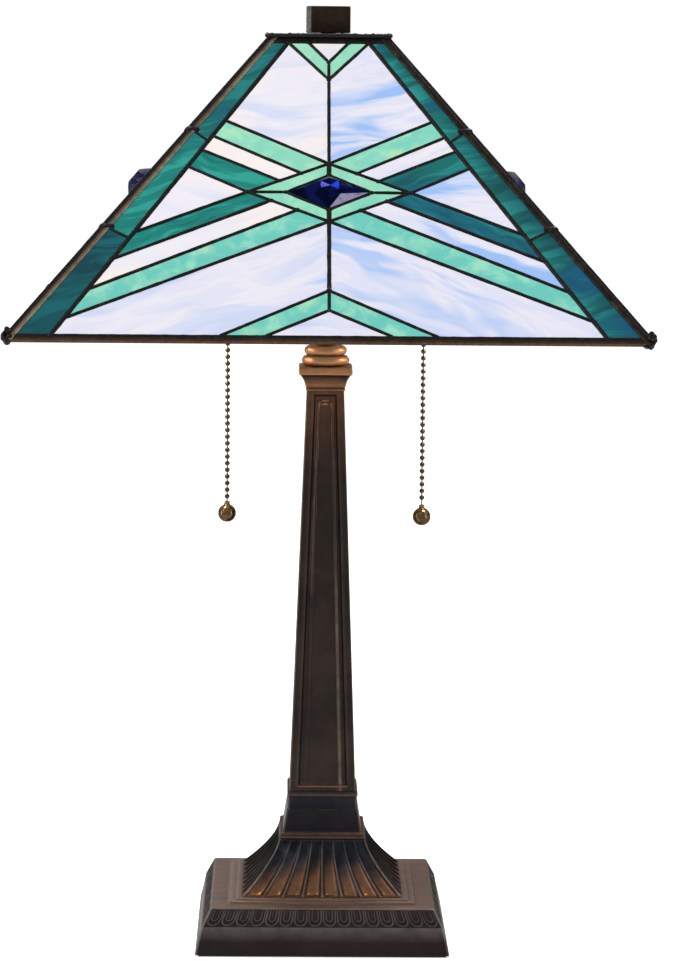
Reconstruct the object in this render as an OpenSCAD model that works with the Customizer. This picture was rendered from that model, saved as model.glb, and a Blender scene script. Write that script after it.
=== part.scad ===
// Table lamp with a square leaded glass shade on a tapered square column.
// Frame: +Z up, origin at the centre of the underside, front of the lamp towards -Y.

/* [Shade] */
// Half width of the shade at the rim
rim_half = 205; // [190:0.1:215]
// Height of the rim edge above the table
rim_z = 427; // [420:0.5:440]
// Half width of the shade at its top opening
top_half = 38; // [36:0.5:42]
// Height of the top opening
top_z = 618; // [610:0.5:622]
// Glass thickness
glass_t = 3; // [2.5:0.1:3.2]
// Half width of a lead line where it shows on the face
lead_half = 1.25; // [1:0.05:1.5]
// Half width of the lead heart between two pieces
heart_half = 0.6; // [0.5:0.05:0.8]
// Half thickness of the leading over its flanges
lead_t = 2.2; // [2:0.1:2.4]
// Distance in the panel plane from a hip to the leading
hip_gap = 3; // [2.4:0.1:3.2]
// Height up the slope where the rim channel starts
rim_lo = 0.7; // [0.3:0.1:1.5]
// Half thickness of the rim channel
rim_t = 1.8; // [1.6:0.1:2.4]
// Height of the top band, measured up the slope
band_h = 5.3; // [4:0.1:6]
// Overhang of the top plate past the top opening
cap_over = 5; // [4:0.1:6]

/* [Glass pattern] */
// Half width of the teal border's inner line at the rim
border_u = 178.5; // [175:0.5:182]
// Height up the slope of the jewel's centre
eye_v = 120.8; // [118:0.1:123]
// Half width of the diamond round the jewel
eye_w = 53; // [50:0.5:56]
// Half height of the diamond round the jewel
eye_h = 23.9; // [22.5:0.1:25]
// Half width of the jewel opening
gem_w = 28; // [26:0.5:30]
// Half height of the jewel opening
gem_h = 14.2; // [13:0.1:15]
// Height of the jewel's table over the panel plane
gem_rise = 9; // [6:0.5:10]

/* [Base] */
// Half width of the foot at the table
foot_half = 86.3; // [84:0.1:90]
// Half width of the foot's top
foot_top_half = 76; // [74:0.5:78]
// Height of the foot
foot_z = 31.6; // [30:0.2:33]
// Half width of the fluted skirt at its bottom
skirt_half = 55; // [53:0.5:57]
// Half width of the fluted skirt at its top
neck_half = 30; // [29:0.2:31]
// Wall of the castings
wall = 3; // [2.5:0.1:3.4]

/* [Column] */
// Half width of the column at its bottom
col_bot = 22.8; // [22:0.1:23.5]
// Half width of the column at its top
col_top = 12.8; // [12.5:0.1:13.2]
// Height of the column's bottom
col_z0 = 101.5; // [101:0.5:102]
// Height of the column's top
col_z1 = 378.4; // [378:0.2:379]
// Radius of the lamp pipe
pipe_r = 4.9; // [4.7:0.1:5]

/* [Lights] */
// Distance of each socket's start from the lamp's axis
arm_x = 26; // [25:0.5:27]
// Height of the sockets' start
arm_z = 446; // [445:0.5:448]
// Tilt of the sockets above the horizontal
arm_tilt = 15; // [12:1:17]
// Radius of a bulb
bulb_r = 24; // [22:0.5:24]

/* [Pull chains] */
// Distance of each pull chain from the lamp's axis
chain_x = 67.2; // [66:0.1:68]
// Height of the swing pivot
pivot_z = 414; // [413:0.5:415]
// Height of the ball's centre
ball_z = 292; // [285:0.5:300]
// How much lower the right ball hangs
right_drop = 1.6; // [0:0.1:2.5]
// Radius of the ball
ball_r = 6.2; // [5.5:0.1:7]
// Radius of a bead
bead_r = 1.55; // [1.4:0.05:1.6]
// Bead spacing
bead_p = 4.6; // [4.2:0.1:5]

/* [Finial] */
// Half width of the finial block
fin_half = 13.5; // [13:0.1:14]
// Height of the finial's top
fin_z = 639.6; // [637:0.1:642]
// Turn of the finial about the lamp's axis
fin_turn = 7; // [0:1:10]

/* [Hidden] */
$fn = 48;

// slope of the panels
run = rim_half - top_half;
rise = top_z - rim_z;
slant = sqrt(run * run + rise * rise);
slope = atan2(rise, run);
// elevation of a hip line and its length
hip_el = atan2(rise, run * sqrt(2));
hip_len = sqrt(2 * run * run + rise * rise);
// half of the angle between two neighbouring panels, seen along their hip
hip_half_angle = acos(-cos(slope) * cos(slope)) / 2;
v0 = 4;
v1 = slant - band_h;

BRONZE = "#3a302b";
COPPER = "#8a5f3c";
BRASS = "#8c6f45";
LEAD = "#23211f";
WHITE_G = "#f1eef3";
MINT_G = "#9fe3c4";
TEAL_G = "#0f7f7a";

// ---------- helpers ----------
function mirrored(p) = [for (i = [len(p) - 1:-1:0]) [-p[i][0], p[i][1]]];
function sym(p) = concat(p, mirrored(p));

// a square-plan moulding: half widths against height, with mitred corners
module square_turned(p) {
  w = 2 * max([for (q = p) q[0]]) + 2;
  intersection() {
    rotate([90, 0, 0]) linear_extrude(height = w, center = true) polygon(sym(p));
    rotate([90, 0, 90]) linear_extrude(height = w, center = true) polygon(sym(p));
  }
}

module square_ring(hi, ho, z, h) {
  translate([0, 0, z]) linear_extrude(height = h) difference() {
    square(2 * ho, center = true);
    square(2 * hi, center = true);
  }
}

module tube(ro, ri, z0, z1) {
  translate([0, 0, z0]) difference() {
    cylinder(r = ro, h = z1 - z0);
    translate([0, 0, -1]) cylinder(r = ri, h = z1 - z0 + 2);
  }
}

// panel frame: x across, y up the slope, z outward
module on_panel(i)
  rotate([0, 0, 90 * i]) translate([0, -rim_half, rim_z]) rotate([slope, 0, 0]) children();

// ---------- the glass pattern ----------
tanh_ = run / slant;
function unit(a) = a / norm(a);
function inset(p, d) = [for (i = [0:len(p) - 1]) let (n = len(p),
    e1 = unit(p[i] - p[(i + n - 1) % n]), e2 = unit(p[(i + 1) % n] - p[i]),
    n1 = [-e1[1], e1[0]], n2 = [-e2[1], e2[0]])
    p[i] + (d / (1 + n1 * n2)) * (n1 + n2)];

// edge of the leading beside a hip, and the teal border's inner line
function hipe(v) = rim_half - tanh_ * v - hip_gap * sqrt(1 + tanh_ * tanh_);
function bord(v) = border_u - (border_u - 27) / v1 * v;
function on_b(v) = [bord(v), v];
function on_h(v) = [hipe(v), v];
// points on the diamond's upper and lower edges, at u
function dia_up(u) = [u, eye_v + eye_h * (1 - u / eye_w)];
function dia_lo(u) = [u, eye_v - eye_h * (1 - u / eye_w)];

// where the strips start on the diamond and end on the border
up_in = [0, 18, 32, eye_w];
up_out = [180.7, 167.5, 155.8, 141.6];
lo_in = [eye_w, 37.5, 20.5, 0];
lo_out = [86.8, 65, 40.6, 17.8];
vee_hi = 231.4;
vee_lo = 216.2;
chev_hi = 41.1;
chev_lo = 25.4;

UPS = ["mint", "white", "teal"];
LOS = ["teal", "white", "mint"];
// pieces of the right half, counter-clockwise
right_cells = concat(
  [["mint", [[0, vee_lo], [27, v1], [13.5, v1], [0, vee_hi]]],
   ["white", [[0, eye_v + eye_h], on_b(up_out[0]), [27, v1], [0, vee_lo]]]],
  [for (i = [0:2]) [UPS[i], [dia_up(up_in[i + 1]), on_b(up_out[i + 1]), on_b(up_out[i]), dia_up(up_in[i])]]],
  [["white", [[eye_w, eye_v], on_b(lo_out[0]), on_b(up_out[3])]]],
  [for (i = [0:2]) [LOS[i], [dia_lo(lo_in[i + 1]), on_b(lo_out[i + 1]), on_b(lo_out[i]), dia_lo(lo_in[i])]]],
  [["white", [[0, chev_hi], [70.5, v0], on_b(v0), on_b(lo_out[3]), [0, eye_v - eye_h]]],
   ["mint", [[0, chev_lo], [42, v0], [70.5, v0], [0, chev_hi]]],
   ["mint", [[0, eye_v + gem_h], [gem_w, eye_v], [eye_w, eye_v], [0, eye_v + eye_h]]],
   ["mint", [[0, eye_v - eye_h], [eye_w, eye_v], [gem_w, eye_v], [0, eye_v - gem_h]]],
   ["teal", [on_b(v1), on_b(162.9), on_h(171.5), on_h(v1)]],
   ["teal", [on_b(162.9), on_b(82.2), on_h(90.3), on_h(171.5)]],
   ["teal", [on_b(82.2), on_b(v0), on_h(v0), on_h(90.3)]]]);
middle_cells = [
  ["white", [[0, vee_hi], [13.5, v1], [-13.5, v1]]],
  ["white", [[0, chev_lo], [-42, v0], [42, v0]]]];
cells = concat(right_cells, [for (c = right_cells) [c[0], mirrored(c[1])]], middle_cells);
gem_cell = [[0, eye_v - gem_h], [gem_w, eye_v], [0, eye_v + gem_h], [-gem_w, eye_v]];
outline = [[-hipe(v0), v0], [hipe(v0), v0], [hipe(v1), v1], [-hipe(v1), v1]];

module lattice(d) difference() {
  polygon(outline);
  for (c = cells) polygon(inset(c[1], d));
  polygon(inset(gem_cell, d));
}

// leading of one panel: flanges on both faces and a heart between the pieces
module leading(i) color(LEAD) on_panel(i) union() {
  translate([0, 0, -lead_t]) linear_extrude(height = lead_t - glass_t / 2) lattice(lead_half);
  translate([0, 0, -glass_t / 2]) linear_extrude(height = glass_t) lattice(heart_half);
  translate([0, 0, glass_t / 2]) linear_extrude(height = lead_t - glass_t / 2) lattice(lead_half);
}

module glass(i, kind) on_panel(i)
  translate([0, 0, -glass_t / 2]) linear_extrude(height = glass_t)
    for (c = cells) if (c[0] == kind) polygon(inset(c[1], heart_half));

module white_glass(i) color(WHITE_G) glass(i, "white");
module mint_glass(i) color(MINT_G) glass(i, "mint");
module teal_glass(i) color(TEAL_G) glass(i, "teal");

module gem_slab(s, z, h) translate([0, eye_v, z]) linear_extrude(height = h)
  polygon([for (p = inset(gem_cell, heart_half)) [p[0] * s, (p[1] - eye_v) * s]]);

// four faceted stones, one in each panel
module glass_jewels() color("#0a1a5a") for (i = [0:3]) on_panel(i) union() {
  gem_slab(1, -glass_t / 2, glass_t);
  hull() {
    gem_slab(0.93, glass_t / 2, 0.4);
    gem_slab(0.45, gem_rise - 0.2, 0.2);
  }
}

// hip came: a ridge bar that holds the edges of two panels
hs = [-cos(hip_half_angle), sin(hip_half_angle)];
hn = [sin(hip_half_angle), cos(hip_half_angle)];
ht = 2.6;
module hip_cames() color(BRASS) for (i = [0:3]) rotate([0, 0, -45 + 90 * i])
  translate([rim_half * sqrt(2), 0, rim_z]) rotate([0, -(90 - hip_el), 0])
    translate([0, 0, 1]) linear_extrude(height = hip_len - 5)
      polygon([[ht / sin(hip_half_angle), 0],
        hip_gap * hs + ht * hn,
        hip_gap * hs - ht * hn,
        [(hip_gap * hs - ht * hn)[0], -(hip_gap * hs - ht * hn)[1]],
        [(hip_gap * hs + ht * hn)[0], -(hip_gap * hs + ht * hn)[1]]]);

// bar along one edge of a panel, between two heights on the slope
module edge_bar(i, a, b, t) on_panel(i) translate([0, 0, -t]) linear_extrude(height = 2 * t)
  polygon([[-hipe(a), a], [hipe(a), a], [hipe(b), b], [-hipe(b), b]]);
module rim_channel() color(BRASS) for (i = [0:3]) edge_bar(i, rim_lo, v0, rim_t);
module top_ring() color(LEAD) for (i = [0:3]) edge_bar(i, v1, slant, 2.5);

// lumps of solder that close the rim's four corners, let in round the leading
module corner_solder() color(LEAD) for (i = [0:3]) difference() {
  rotate([0, 0, -45 + 90 * i]) translate([(rim_half - 3.6) * sqrt(2), 0, rim_z + 3.3]) sphere(r = 4.3);
  for (j = [i, i + 1]) on_panel(j) translate([0, 0, -lead_t]) linear_extrude(height = 2 * lead_t) polygon(outline);
}

// low pyramid plate on the top opening
cap_z = top_z + 1.8;
module top_cap() color(LEAD) difference() {
  square_turned([[top_half + cap_over, cap_z], [top_half + cap_over, cap_z + 0.4], [fin_half + 1, cap_z + 1.5]]);
  translate([0, 0, cap_z - 1]) cylinder(r = pipe_r + 0.3, h = 5);
}

// ---------- finial ----------
fin_z0 = cap_z + 1.6;
module finial() color("#2f2520") difference() {
  rotate([0, 0, fin_turn]) square_turned([[fin_half - 0.6, fin_z0], [fin_half, fin_z0 + 0.6],
    [fin_half, fin_z - 0.6], [fin_half - 0.6, fin_z]]);
  translate([0, 0, fin_z0 - 1]) cylinder(r = pipe_r + 0.06, h = 12);
}

// ---------- base ----------
felt_t = 1.2;
gland_z = 10;
gland_r = 4;
module felt_pad() color("#20241f") translate([-84, -84, 0]) cube([168, 168, felt_t]);

pad_half = 63.7;
pad_z = 33;
module base_plinth() color(BRONZE) difference() {
  union() {
    square_turned([[foot_half, felt_t], [foot_half - 4, 19.8], [foot_top_half, foot_z]]);
    translate([-pad_half, -pad_half, foot_z - 0.1]) cube([2 * pad_half, 2 * pad_half, pad_z - foot_z + 0.1]);
  }
  square_turned([[foot_half - wall - 0.5, felt_t - 1], [foot_half - wall - 4, 19], [foot_top_half - wall, foot_z - wall]]);
  translate([0, 0, 20]) cylinder(r = pipe_r + 0.3, h = 20);
  translate([0, foot_half + 2, gland_z]) rotate([90, 0, 0]) cylinder(r = 7, h = 12);
}

// flanged sleeve in the rear wall where the supply lead enters
module cord_bushing() color("#171615") difference() {
  union() {
    translate([0, 85.1, gland_z]) rotate([90, 0, 0]) cylinder(r = 7, h = 7);
    translate([0, 79.2, gland_z]) rotate([90, 0, 0]) cylinder(r = 8.4, h = 1.6);
  }
  translate([0, 90, gland_z]) rotate([90, 0, 0]) cylinder(r = gland_r, h = 20);
}

// slab clamped under the foot's top, with a channel for the supply lead
ballast_z = 12;
module ballast_weight() color("#4a4744") difference() {
  translate([-66, -66, ballast_z]) cube([132, 132, foot_z - wall - ballast_z]);
  cylinder(r = pipe_r + 0.3, h = 30);
  translate([-6, 0, 0]) cube([12, 70, 17]);
}

module bottom_washer() color(BRASS) tube(12, pipe_r + 0.2, ballast_z - 1.6, ballast_z);
module bottom_nut() color(BRASS) translate([0, 0, ballast_z - 7.6]) difference() {
  cylinder(r = 8.5, h = 6, $fn = 6);
  translate([0, 0, -1]) cylinder(r = pipe_r + 0.05, h = 8);
}

module lamp_pipe() color(BRASS) tube(pipe_r, 3.6, 3.6, 436);

// concave flare under the column
sk_z0 = pad_z;
sk_z1 = 69;
function flare(n, z0, z1, a, b, e) = [for (k = [0:n]) let (t = k / n)
  [b + (a - b) * pow(1 - t, e), z0 + (z1 - z0) * t]];
module skirt_casting() color(COPPER) difference() {
  square_turned(concat([[skirt_half, sk_z0]], flare(10, sk_z0 + 1.4, sk_z1, skirt_half, neck_half, 1.45)));
  square_turned(concat([[skirt_half - wall - 1, sk_z0 - 1]],
    flare(6, sk_z0 + 0.5, sk_z1 - wall, skirt_half - wall - 2, neck_half - wall - 1, 1.45)));
  translate([0, 0, 50]) cylinder(r = pipe_r + 0.3, h = 30);
}

module stepped_collar() color(BRONZE) difference() {
  square_turned([[29.2, 69], [29.6, 70.4], [29.2, 73], [27, 73.4], [24.4, 89.4], [23.9, 89.8],
    [23.7, 97.6], [24.4, 98.2], [24.4, 100.4], [23.4, col_z0]]);
  translate([0, 0, 60]) cylinder(r = pipe_r + 0.3, h = 60);
}

// tapered square shaft with a sunk panel on each face, hollow round the pipe
function col_half(z) = col_bot + (col_top - col_bot) * (z - col_z0) / (col_z1 - col_z0);
rec_z0 = 105;
rec_z1 = 376;
rec_d = 1.4;
module panel_cut() rotate([90, 0, 0]) linear_extrude(height = 80, center = true)
  polygon([[-16.7, rec_z0], [16.7, rec_z0], [7.5, rec_z1], [-7.5, rec_z1]]);
module column_shaft() color(BRONZE) difference() {
  union() {
    difference() {
      square_turned([[col_bot, col_z0], [col_top, col_z1]]);
      panel_cut();
      rotate([0, 0, 90]) panel_cut();
    }
    square_turned([[col_bot - rec_d, col_z0], [col_top - rec_d, col_z1]]);
  }
  square_turned([[col_bot - rec_d - wall, col_z0 + wall], [col_top - rec_d - wall, col_z1 - wall]]);
  translate([0, 0, col_z0 - 1]) cylinder(r = pipe_r + 0.3, h = 300);
}

module capital() color(COPPER) difference() {
  square_turned([[13.4, col_z1], [13.4, col_z1 + 1.4], [14, 382], [14.8, 385], [16.2, 387.5],
    [17.6, 389.4], [18.2, 389.8], [18.4, 390.4], [18.4, 394.2], [18, 394.8]]);
  translate([0, 0, col_z1 - 1]) cylinder(r = pipe_r + 0.3, h = 20);
}

// a turned ring with a rounded rim
module neck_ring(z0, z1, r) {
  c = (z1 - z0) / 2;
  rotate_extrude() difference() {
    union() {
      translate([0, z0]) square([r - c, z1 - z0]);
      translate([r - c, z0 + c]) circle(r = c);
    }
    translate([-20, z0 - 1]) square([20 + pipe_r + 0.3, z1 - z0 + 2]);
  }
}
module lower_neck_ring() color(COPPER) neck_ring(394.8, 402, 16.4);
module upper_neck_ring() color(COPPER) neck_ring(402, 408.6, 14.6);
module neck_spacer() color(BRONZE) tube(7, pipe_r + 0.2, 408.6, 428);

// ---------- lights ----------
// frame of a socket: z runs along its axis, away from the lamp
module on_socket(s) translate([s * arm_x, 0, arm_z]) rotate([0, s * (90 - arm_tilt), 0]) children();

module cluster_body() color(BRASS) difference() {
  union() {
    rotate_extrude() polygon([[0, 428], [9, 428], [16, 433], [18, 440], [18, 452], [16, 459], [9, 464], [0, 464]]);
    for (s = [-1, 1]) on_socket(s) translate([0, 0, -14]) cylinder(r = 7, h = 14);
  }
  translate([0, 0, 420]) cylinder(r = pipe_r + 0.05, h = 50);
}
module riser_pipe() color(BRASS) tube(pipe_r, 3.4, 456, 631);
module shade_seat_nut() color(BRASS) union() {
  translate([0, 0, cap_z - 9]) difference() {
    cylinder(r = 10, h = 6, $fn = 6);
    translate([0, 0, -1]) cylinder(r = pipe_r + 0.05, h = 8);
  }
  tube(15, pipe_r + 0.05, cap_z - 3, cap_z);
}

module socket_cap(s) color(BRASS) on_socket(s) rotate_extrude()
  polygon([[4, 0], [9, 0], [14, 3], [17, 8], [18.2, 15], [18.2, 18], [17.1, 18], [17.1, 15], [16, 8.6], [13, 4.2], [9, 1.4], [4, 1.4]]);
module left_socket_cap() socket_cap(-1);
module right_socket_cap() socket_cap(1);

module chain_hole(s, r) translate([s * chain_x, 0, 400]) cylinder(r = r, h = 46);
module socket_shell(s) color(BRASS) difference() {
  on_socket(s) tube(17, 15.8, 15, 56);
  chain_hole(s, 2.1);
}
module left_socket_shell() socket_shell(-1);
module right_socket_shell() socket_shell(1);
module socket_cores() color("#e8e2d4") for (s = [-1, 1]) on_socket(s) tube(15.6, 3, 12, 33);

// guide tube with a bell mouth, on the underside of each socket
module chain_nozzles() color(BRASS) for (s = [-1, 1]) difference() {
  translate([s * chain_x, 0, 0]) difference() {
    rotate_extrude() polygon([[0, 418], [4.6, 418], [4.6, 419], [3.6, 421], [3.6, 446], [0, 446]]);
    translate([0, 0, 400]) cylinder(r = 2.1, h = 50);
  }
  on_socket(s) cylinder(r = 17, h = 80);
}

module bulb_base(s) color("#b9b4aa") on_socket(s) difference() {
  union() {
    translate([0, 0, 37]) cylinder(r = 13, h = 24);
    translate([0, 0, 34.5]) cylinder(r1 = 4, r2 = 9, h = 2.5);
  }
  translate([0, 0, 40]) cylinder(r = 12.4, h = 24);
}
module left_bulb_base() bulb_base(-1);
module right_bulb_base() bulb_base(1);

bulb_c = 97;
function bulb_out(n, r, a0) = [for (k = [0:n]) let (a = a0 + (90 - a0) * k / n) [r * cos(a), bulb_c + r * sin(a)]];
function bulb_in(n, r, a0) = [for (k = [n:-1:0]) let (a = a0 + (90 - a0) * k / n) [r * cos(a), bulb_c + r * sin(a)]];
module bulb_glass(s) color("#fff6dc") on_socket(s)
  rotate_extrude() polygon(concat([[12.3, 52], [12.3, 62], [14.5, 70]], bulb_out(14, bulb_r, -35),
    bulb_in(14, bulb_r - 1, -35), [[13.5, 70], [11.3, 62], [11.3, 52]]));
module left_bulb_glass() bulb_glass(-1);
module right_bulb_glass() bulb_glass(1);

// ---------- pull chains ----------
wire_r = 0.45;
module on_chain(s) translate([s * chain_x, 0, 0]) children();
module bead(z) translate([0, 0, z]) sphere(r = bead_r);
module pull_link(s) color(BRASS) on_chain(s) union() {
  translate([0, 0, pivot_z + 1.8]) cylinder(r = wire_r, h = 20);
  for (k = [1:4]) bead(pivot_z + 0.6 + bead_p * k);
}
module swivel_bead(s) color(BRASS) on_chain(s) bead(pivot_z);
bead_n = floor((pivot_z - ball_z - ball_r - 4) / bead_p);
function ball_at(s) = ball_z - (s > 0 ? right_drop : 0);
module chain(s) color(BRASS) on_chain(s) union() {
  translate([0, 0, ball_at(s) + ball_r + 2]) cylinder(r = wire_r, h = pivot_z - 1.8 - ball_at(s) - ball_r - 2);
  for (k = [1:bead_n]) bead(pivot_z - bead_p * k);
}
module pull_ball(s) color("#a5814f") on_chain(s) translate([0, 0, ball_at(s)]) difference() {
  union() {
    sphere(r = ball_r);
    translate([0, 0, ball_r - 0.6]) cylinder(r = 2, h = 2.6);
  }
  translate([-8, -8, -ball_r - 4]) cube([16, 16, 4.3]);
}
module left_pull_link() pull_link(-1);
module left_swivel_bead() swivel_bead(-1);
module left_chain() chain(-1);
module left_pull_ball() pull_ball(-1);
module right_pull_link() pull_link(1);
module right_swivel_bead() swivel_bead(1);
module right_chain() chain(1);
module right_pull_ball() pull_ball(1);

module front_leading() leading(0);
module front_white_glass() white_glass(0);
module front_mint_glass() mint_glass(0);
module front_teal_glass() teal_glass(0);
module right_leading() leading(1);
module right_white_glass() white_glass(1);
module right_mint_glass() mint_glass(1);
module right_teal_glass() teal_glass(1);
module back_leading() leading(2);
module back_white_glass() white_glass(2);
module back_mint_glass() mint_glass(2);
module back_teal_glass() teal_glass(2);
module left_leading() leading(3);
module left_white_glass() white_glass(3);
module left_mint_glass() mint_glass(3);
module left_teal_glass() teal_glass(3);

felt_pad();
base_plinth();
ballast_weight();
cord_bushing();
bottom_washer();
bottom_nut();
lamp_pipe();
skirt_casting();
stepped_collar();
column_shaft();
capital();
lower_neck_ring();
upper_neck_ring();
neck_spacer();
cluster_body();
riser_pipe();
shade_seat_nut();
left_socket_cap();
left_socket_shell();
left_bulb_base();
left_bulb_glass();
right_socket_cap();
right_socket_shell();
right_bulb_base();
right_bulb_glass();
socket_cores();
chain_nozzles();
front_leading();
front_white_glass();
front_mint_glass();
front_teal_glass();
right_leading();
right_white_glass();
right_mint_glass();
right_teal_glass();
back_leading();
back_white_glass();
back_mint_glass();
back_teal_glass();
left_leading();
left_white_glass();
left_mint_glass();
left_teal_glass();
glass_jewels();
hip_cames();
rim_channel();
top_ring();
corner_solder();
top_cap();
finial();
left_pull_link();
left_swivel_bead();
left_chain();
left_pull_ball();
right_pull_link();
right_swivel_bead();
right_chain();
right_pull_ball();
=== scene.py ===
import math
import bmesh
import bpy
import numpy as np
from mathutils import Matrix, Vector, noise


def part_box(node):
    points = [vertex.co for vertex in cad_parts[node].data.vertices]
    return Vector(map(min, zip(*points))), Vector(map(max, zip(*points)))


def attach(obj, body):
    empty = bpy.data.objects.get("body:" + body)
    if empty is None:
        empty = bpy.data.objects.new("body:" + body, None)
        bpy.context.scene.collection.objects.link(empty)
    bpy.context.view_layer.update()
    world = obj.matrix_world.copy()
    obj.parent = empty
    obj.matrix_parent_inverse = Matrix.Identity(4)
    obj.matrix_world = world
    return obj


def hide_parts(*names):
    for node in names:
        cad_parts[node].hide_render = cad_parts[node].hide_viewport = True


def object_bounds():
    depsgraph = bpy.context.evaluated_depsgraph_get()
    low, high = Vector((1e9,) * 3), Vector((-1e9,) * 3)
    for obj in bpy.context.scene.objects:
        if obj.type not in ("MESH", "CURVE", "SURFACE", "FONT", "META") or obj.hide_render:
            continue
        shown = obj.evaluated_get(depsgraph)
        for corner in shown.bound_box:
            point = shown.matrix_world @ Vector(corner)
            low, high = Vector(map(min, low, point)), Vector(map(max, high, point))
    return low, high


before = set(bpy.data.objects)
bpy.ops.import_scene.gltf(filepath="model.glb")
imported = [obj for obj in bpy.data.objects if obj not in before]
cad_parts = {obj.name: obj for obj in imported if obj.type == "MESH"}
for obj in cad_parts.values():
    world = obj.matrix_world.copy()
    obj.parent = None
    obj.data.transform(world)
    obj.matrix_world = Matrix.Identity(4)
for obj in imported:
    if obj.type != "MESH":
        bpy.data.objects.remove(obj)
CAD_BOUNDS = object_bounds()
scene = bpy.context.scene
MM = 0.001


def bounds_half(b):
    """Half width of the CAD model across X, in millimetres, from its bounds."""
    lo, hi = b
    return min(-lo[0], hi[0]) / MM


CAD_BOUNDS_MM = bounds_half(CAD_BOUNDS)


# ------------------------------------------------------------------ camera
def make_camera():
    f, dist, zc, xc = 3634.69, 2.48881, 0.62338, -0.02752
    pitch, pan, roll = (math.radians(a) for a in (7.061, 0.870, 0.489))
    fw = Vector((math.sin(pan) * math.cos(pitch), math.cos(pan) * math.cos(pitch), -math.sin(pitch)))
    right = Vector((math.cos(pan), -math.sin(pan), 0))
    up = right.cross(fw)
    r = math.cos(roll) * right + math.sin(roll) * up
    u = -math.sin(roll) * right + math.cos(roll) * up
    data = bpy.data.cameras.new("camera")
    data.sensor_width = 36
    data.sensor_fit = "AUTO"
    data.lens = f * 36 / 961
    data.clip_start, data.clip_end = 0.05, 100
    cam = bpy.data.objects.new("camera", data)
    m = Matrix.Identity(4)
    for k, v in enumerate((r, u, -fw)):
        for j in range(3):
            m[j][k] = v[j]
    m.translation = Vector((xc, -dist, zc))
    cam.matrix_world = m
    scene.collection.objects.link(cam)
    scene.camera = cam


make_camera()


# ------------------------------------------------------------------ node helpers
class Mat:
    """A node material with one principled shader and short calls for the usual nodes."""

    def __init__(self, name, **sockets):
        self.m = bpy.data.materials.new(name)
        self.m.use_nodes = True
        self.t = self.m.node_tree
        self.b = self.t.nodes["Principled BSDF"]
        for k, v in sockets.items():
            self.b.inputs[k.replace("_", " ")].default_value = v

    def link(self, a, b):
        self.t.links.new(a, b)

    def set(self, socket, value):
        if isinstance(value, bpy.types.NodeSocket):
            self.link(value, self.b.inputs[socket])
        else:
            self.b.inputs[socket].default_value = value

    def _put(self, node, i, v):
        if v is None:
            return
        if isinstance(v, bpy.types.NodeSocket):
            self.link(v, node.inputs[i])
        else:
            node.inputs[i].default_value = v

    def coords(self, kind="Object"):
        return self.t.nodes.new("ShaderNodeTexCoord").outputs[kind]

    def attr(self, name, out="Vector"):
        n = self.t.nodes.new("ShaderNodeAttribute")
        n.attribute_name = name
        return n.outputs[out]

    def mapping(self, vec, scale=(1, 1, 1), rot=(0, 0, 0), loc=(0, 0, 0)):
        n = self.t.nodes.new("ShaderNodeMapping")
        n.inputs["Scale"].default_value = scale
        n.inputs["Rotation"].default_value = rot
        n.inputs["Location"].default_value = loc
        self.link(vec, n.inputs["Vector"])
        return n.outputs["Vector"]

    def noise(self, vec, scale, detail=4, rough=0.5, dist=0.0, out="Fac"):
        n = self.t.nodes.new("ShaderNodeTexNoise")
        n.inputs["Scale"].default_value = scale
        n.inputs["Detail"].default_value = detail
        n.inputs["Roughness"].default_value = rough
        n.inputs["Distortion"].default_value = dist
        self.link(vec, n.inputs["Vector"])
        return n.outputs[out]

    def voronoi(self, vec, scale, out="Distance"):
        n = self.t.nodes.new("ShaderNodeTexVoronoi")
        n.inputs["Scale"].default_value = scale
        self.link(vec, n.inputs["Vector"])
        return n.outputs[out]

    def ramp(self, fac, stops, interp="LINEAR"):
        n = self.t.nodes.new("ShaderNodeValToRGB")
        n.color_ramp.interpolation = interp
        e = n.color_ramp.elements
        while len(e) < len(stops):
            e.new(0.5)
        for el, (p, c) in zip(e, stops):
            el.position = p
            el.color = c if len(c) == 4 else (*c, 1)
        self.link(fac, n.inputs["Fac"])
        return n.outputs["Color"]

    def span(self, fac, a, b, lo=0.0, hi=1.0):
        n = self.t.nodes.new("ShaderNodeMapRange")
        n.interpolation_type = "SMOOTHSTEP"
        for i, v in zip(("From Min", "From Max", "To Min", "To Max"), (a, b, lo, hi)):
            n.inputs[i].default_value = v
        self.link(fac, n.inputs["Value"])
        return n.outputs["Result"]

    def math(self, op, a, b=None, clamp=False):
        n = self.t.nodes.new("ShaderNodeMath")
        n.operation = op
        n.use_clamp = clamp
        self._put(n, 0, a)
        self._put(n, 1, b)
        return n.outputs[0]

    def mix(self, fac, a, b, mode="MIX"):
        n = self.t.nodes.new("ShaderNodeMix")
        n.data_type = "RGBA"
        n.blend_type = mode
        self._put(n, 0, fac)
        self._put(n, 6, a if isinstance(a, bpy.types.NodeSocket) or len(a) == 4 else (*a, 1))
        self._put(n, 7, b if isinstance(b, bpy.types.NodeSocket) or len(b) == 4 else (*b, 1))
        return n.outputs[2]

    def bump(self, height, strength, distance):
        n = self.t.nodes.new("ShaderNodeBump")
        n.inputs["Strength"].default_value = strength
        n.inputs["Distance"].default_value = distance
        self.link(height, n.inputs["Height"])
        self.link(n.outputs["Normal"], self.b.inputs["Normal"])
        return n.outputs["Normal"]


def srgb(h):
    """A hex colour as linear RGBA."""
    c = [int(h[i:i + 2], 16) / 255 for i in (1, 3, 5)]
    return tuple(x / 12.92 if x <= 0.04045 else ((x + 0.055) / 1.055) ** 2.4 for x in c) + (1,)


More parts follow.
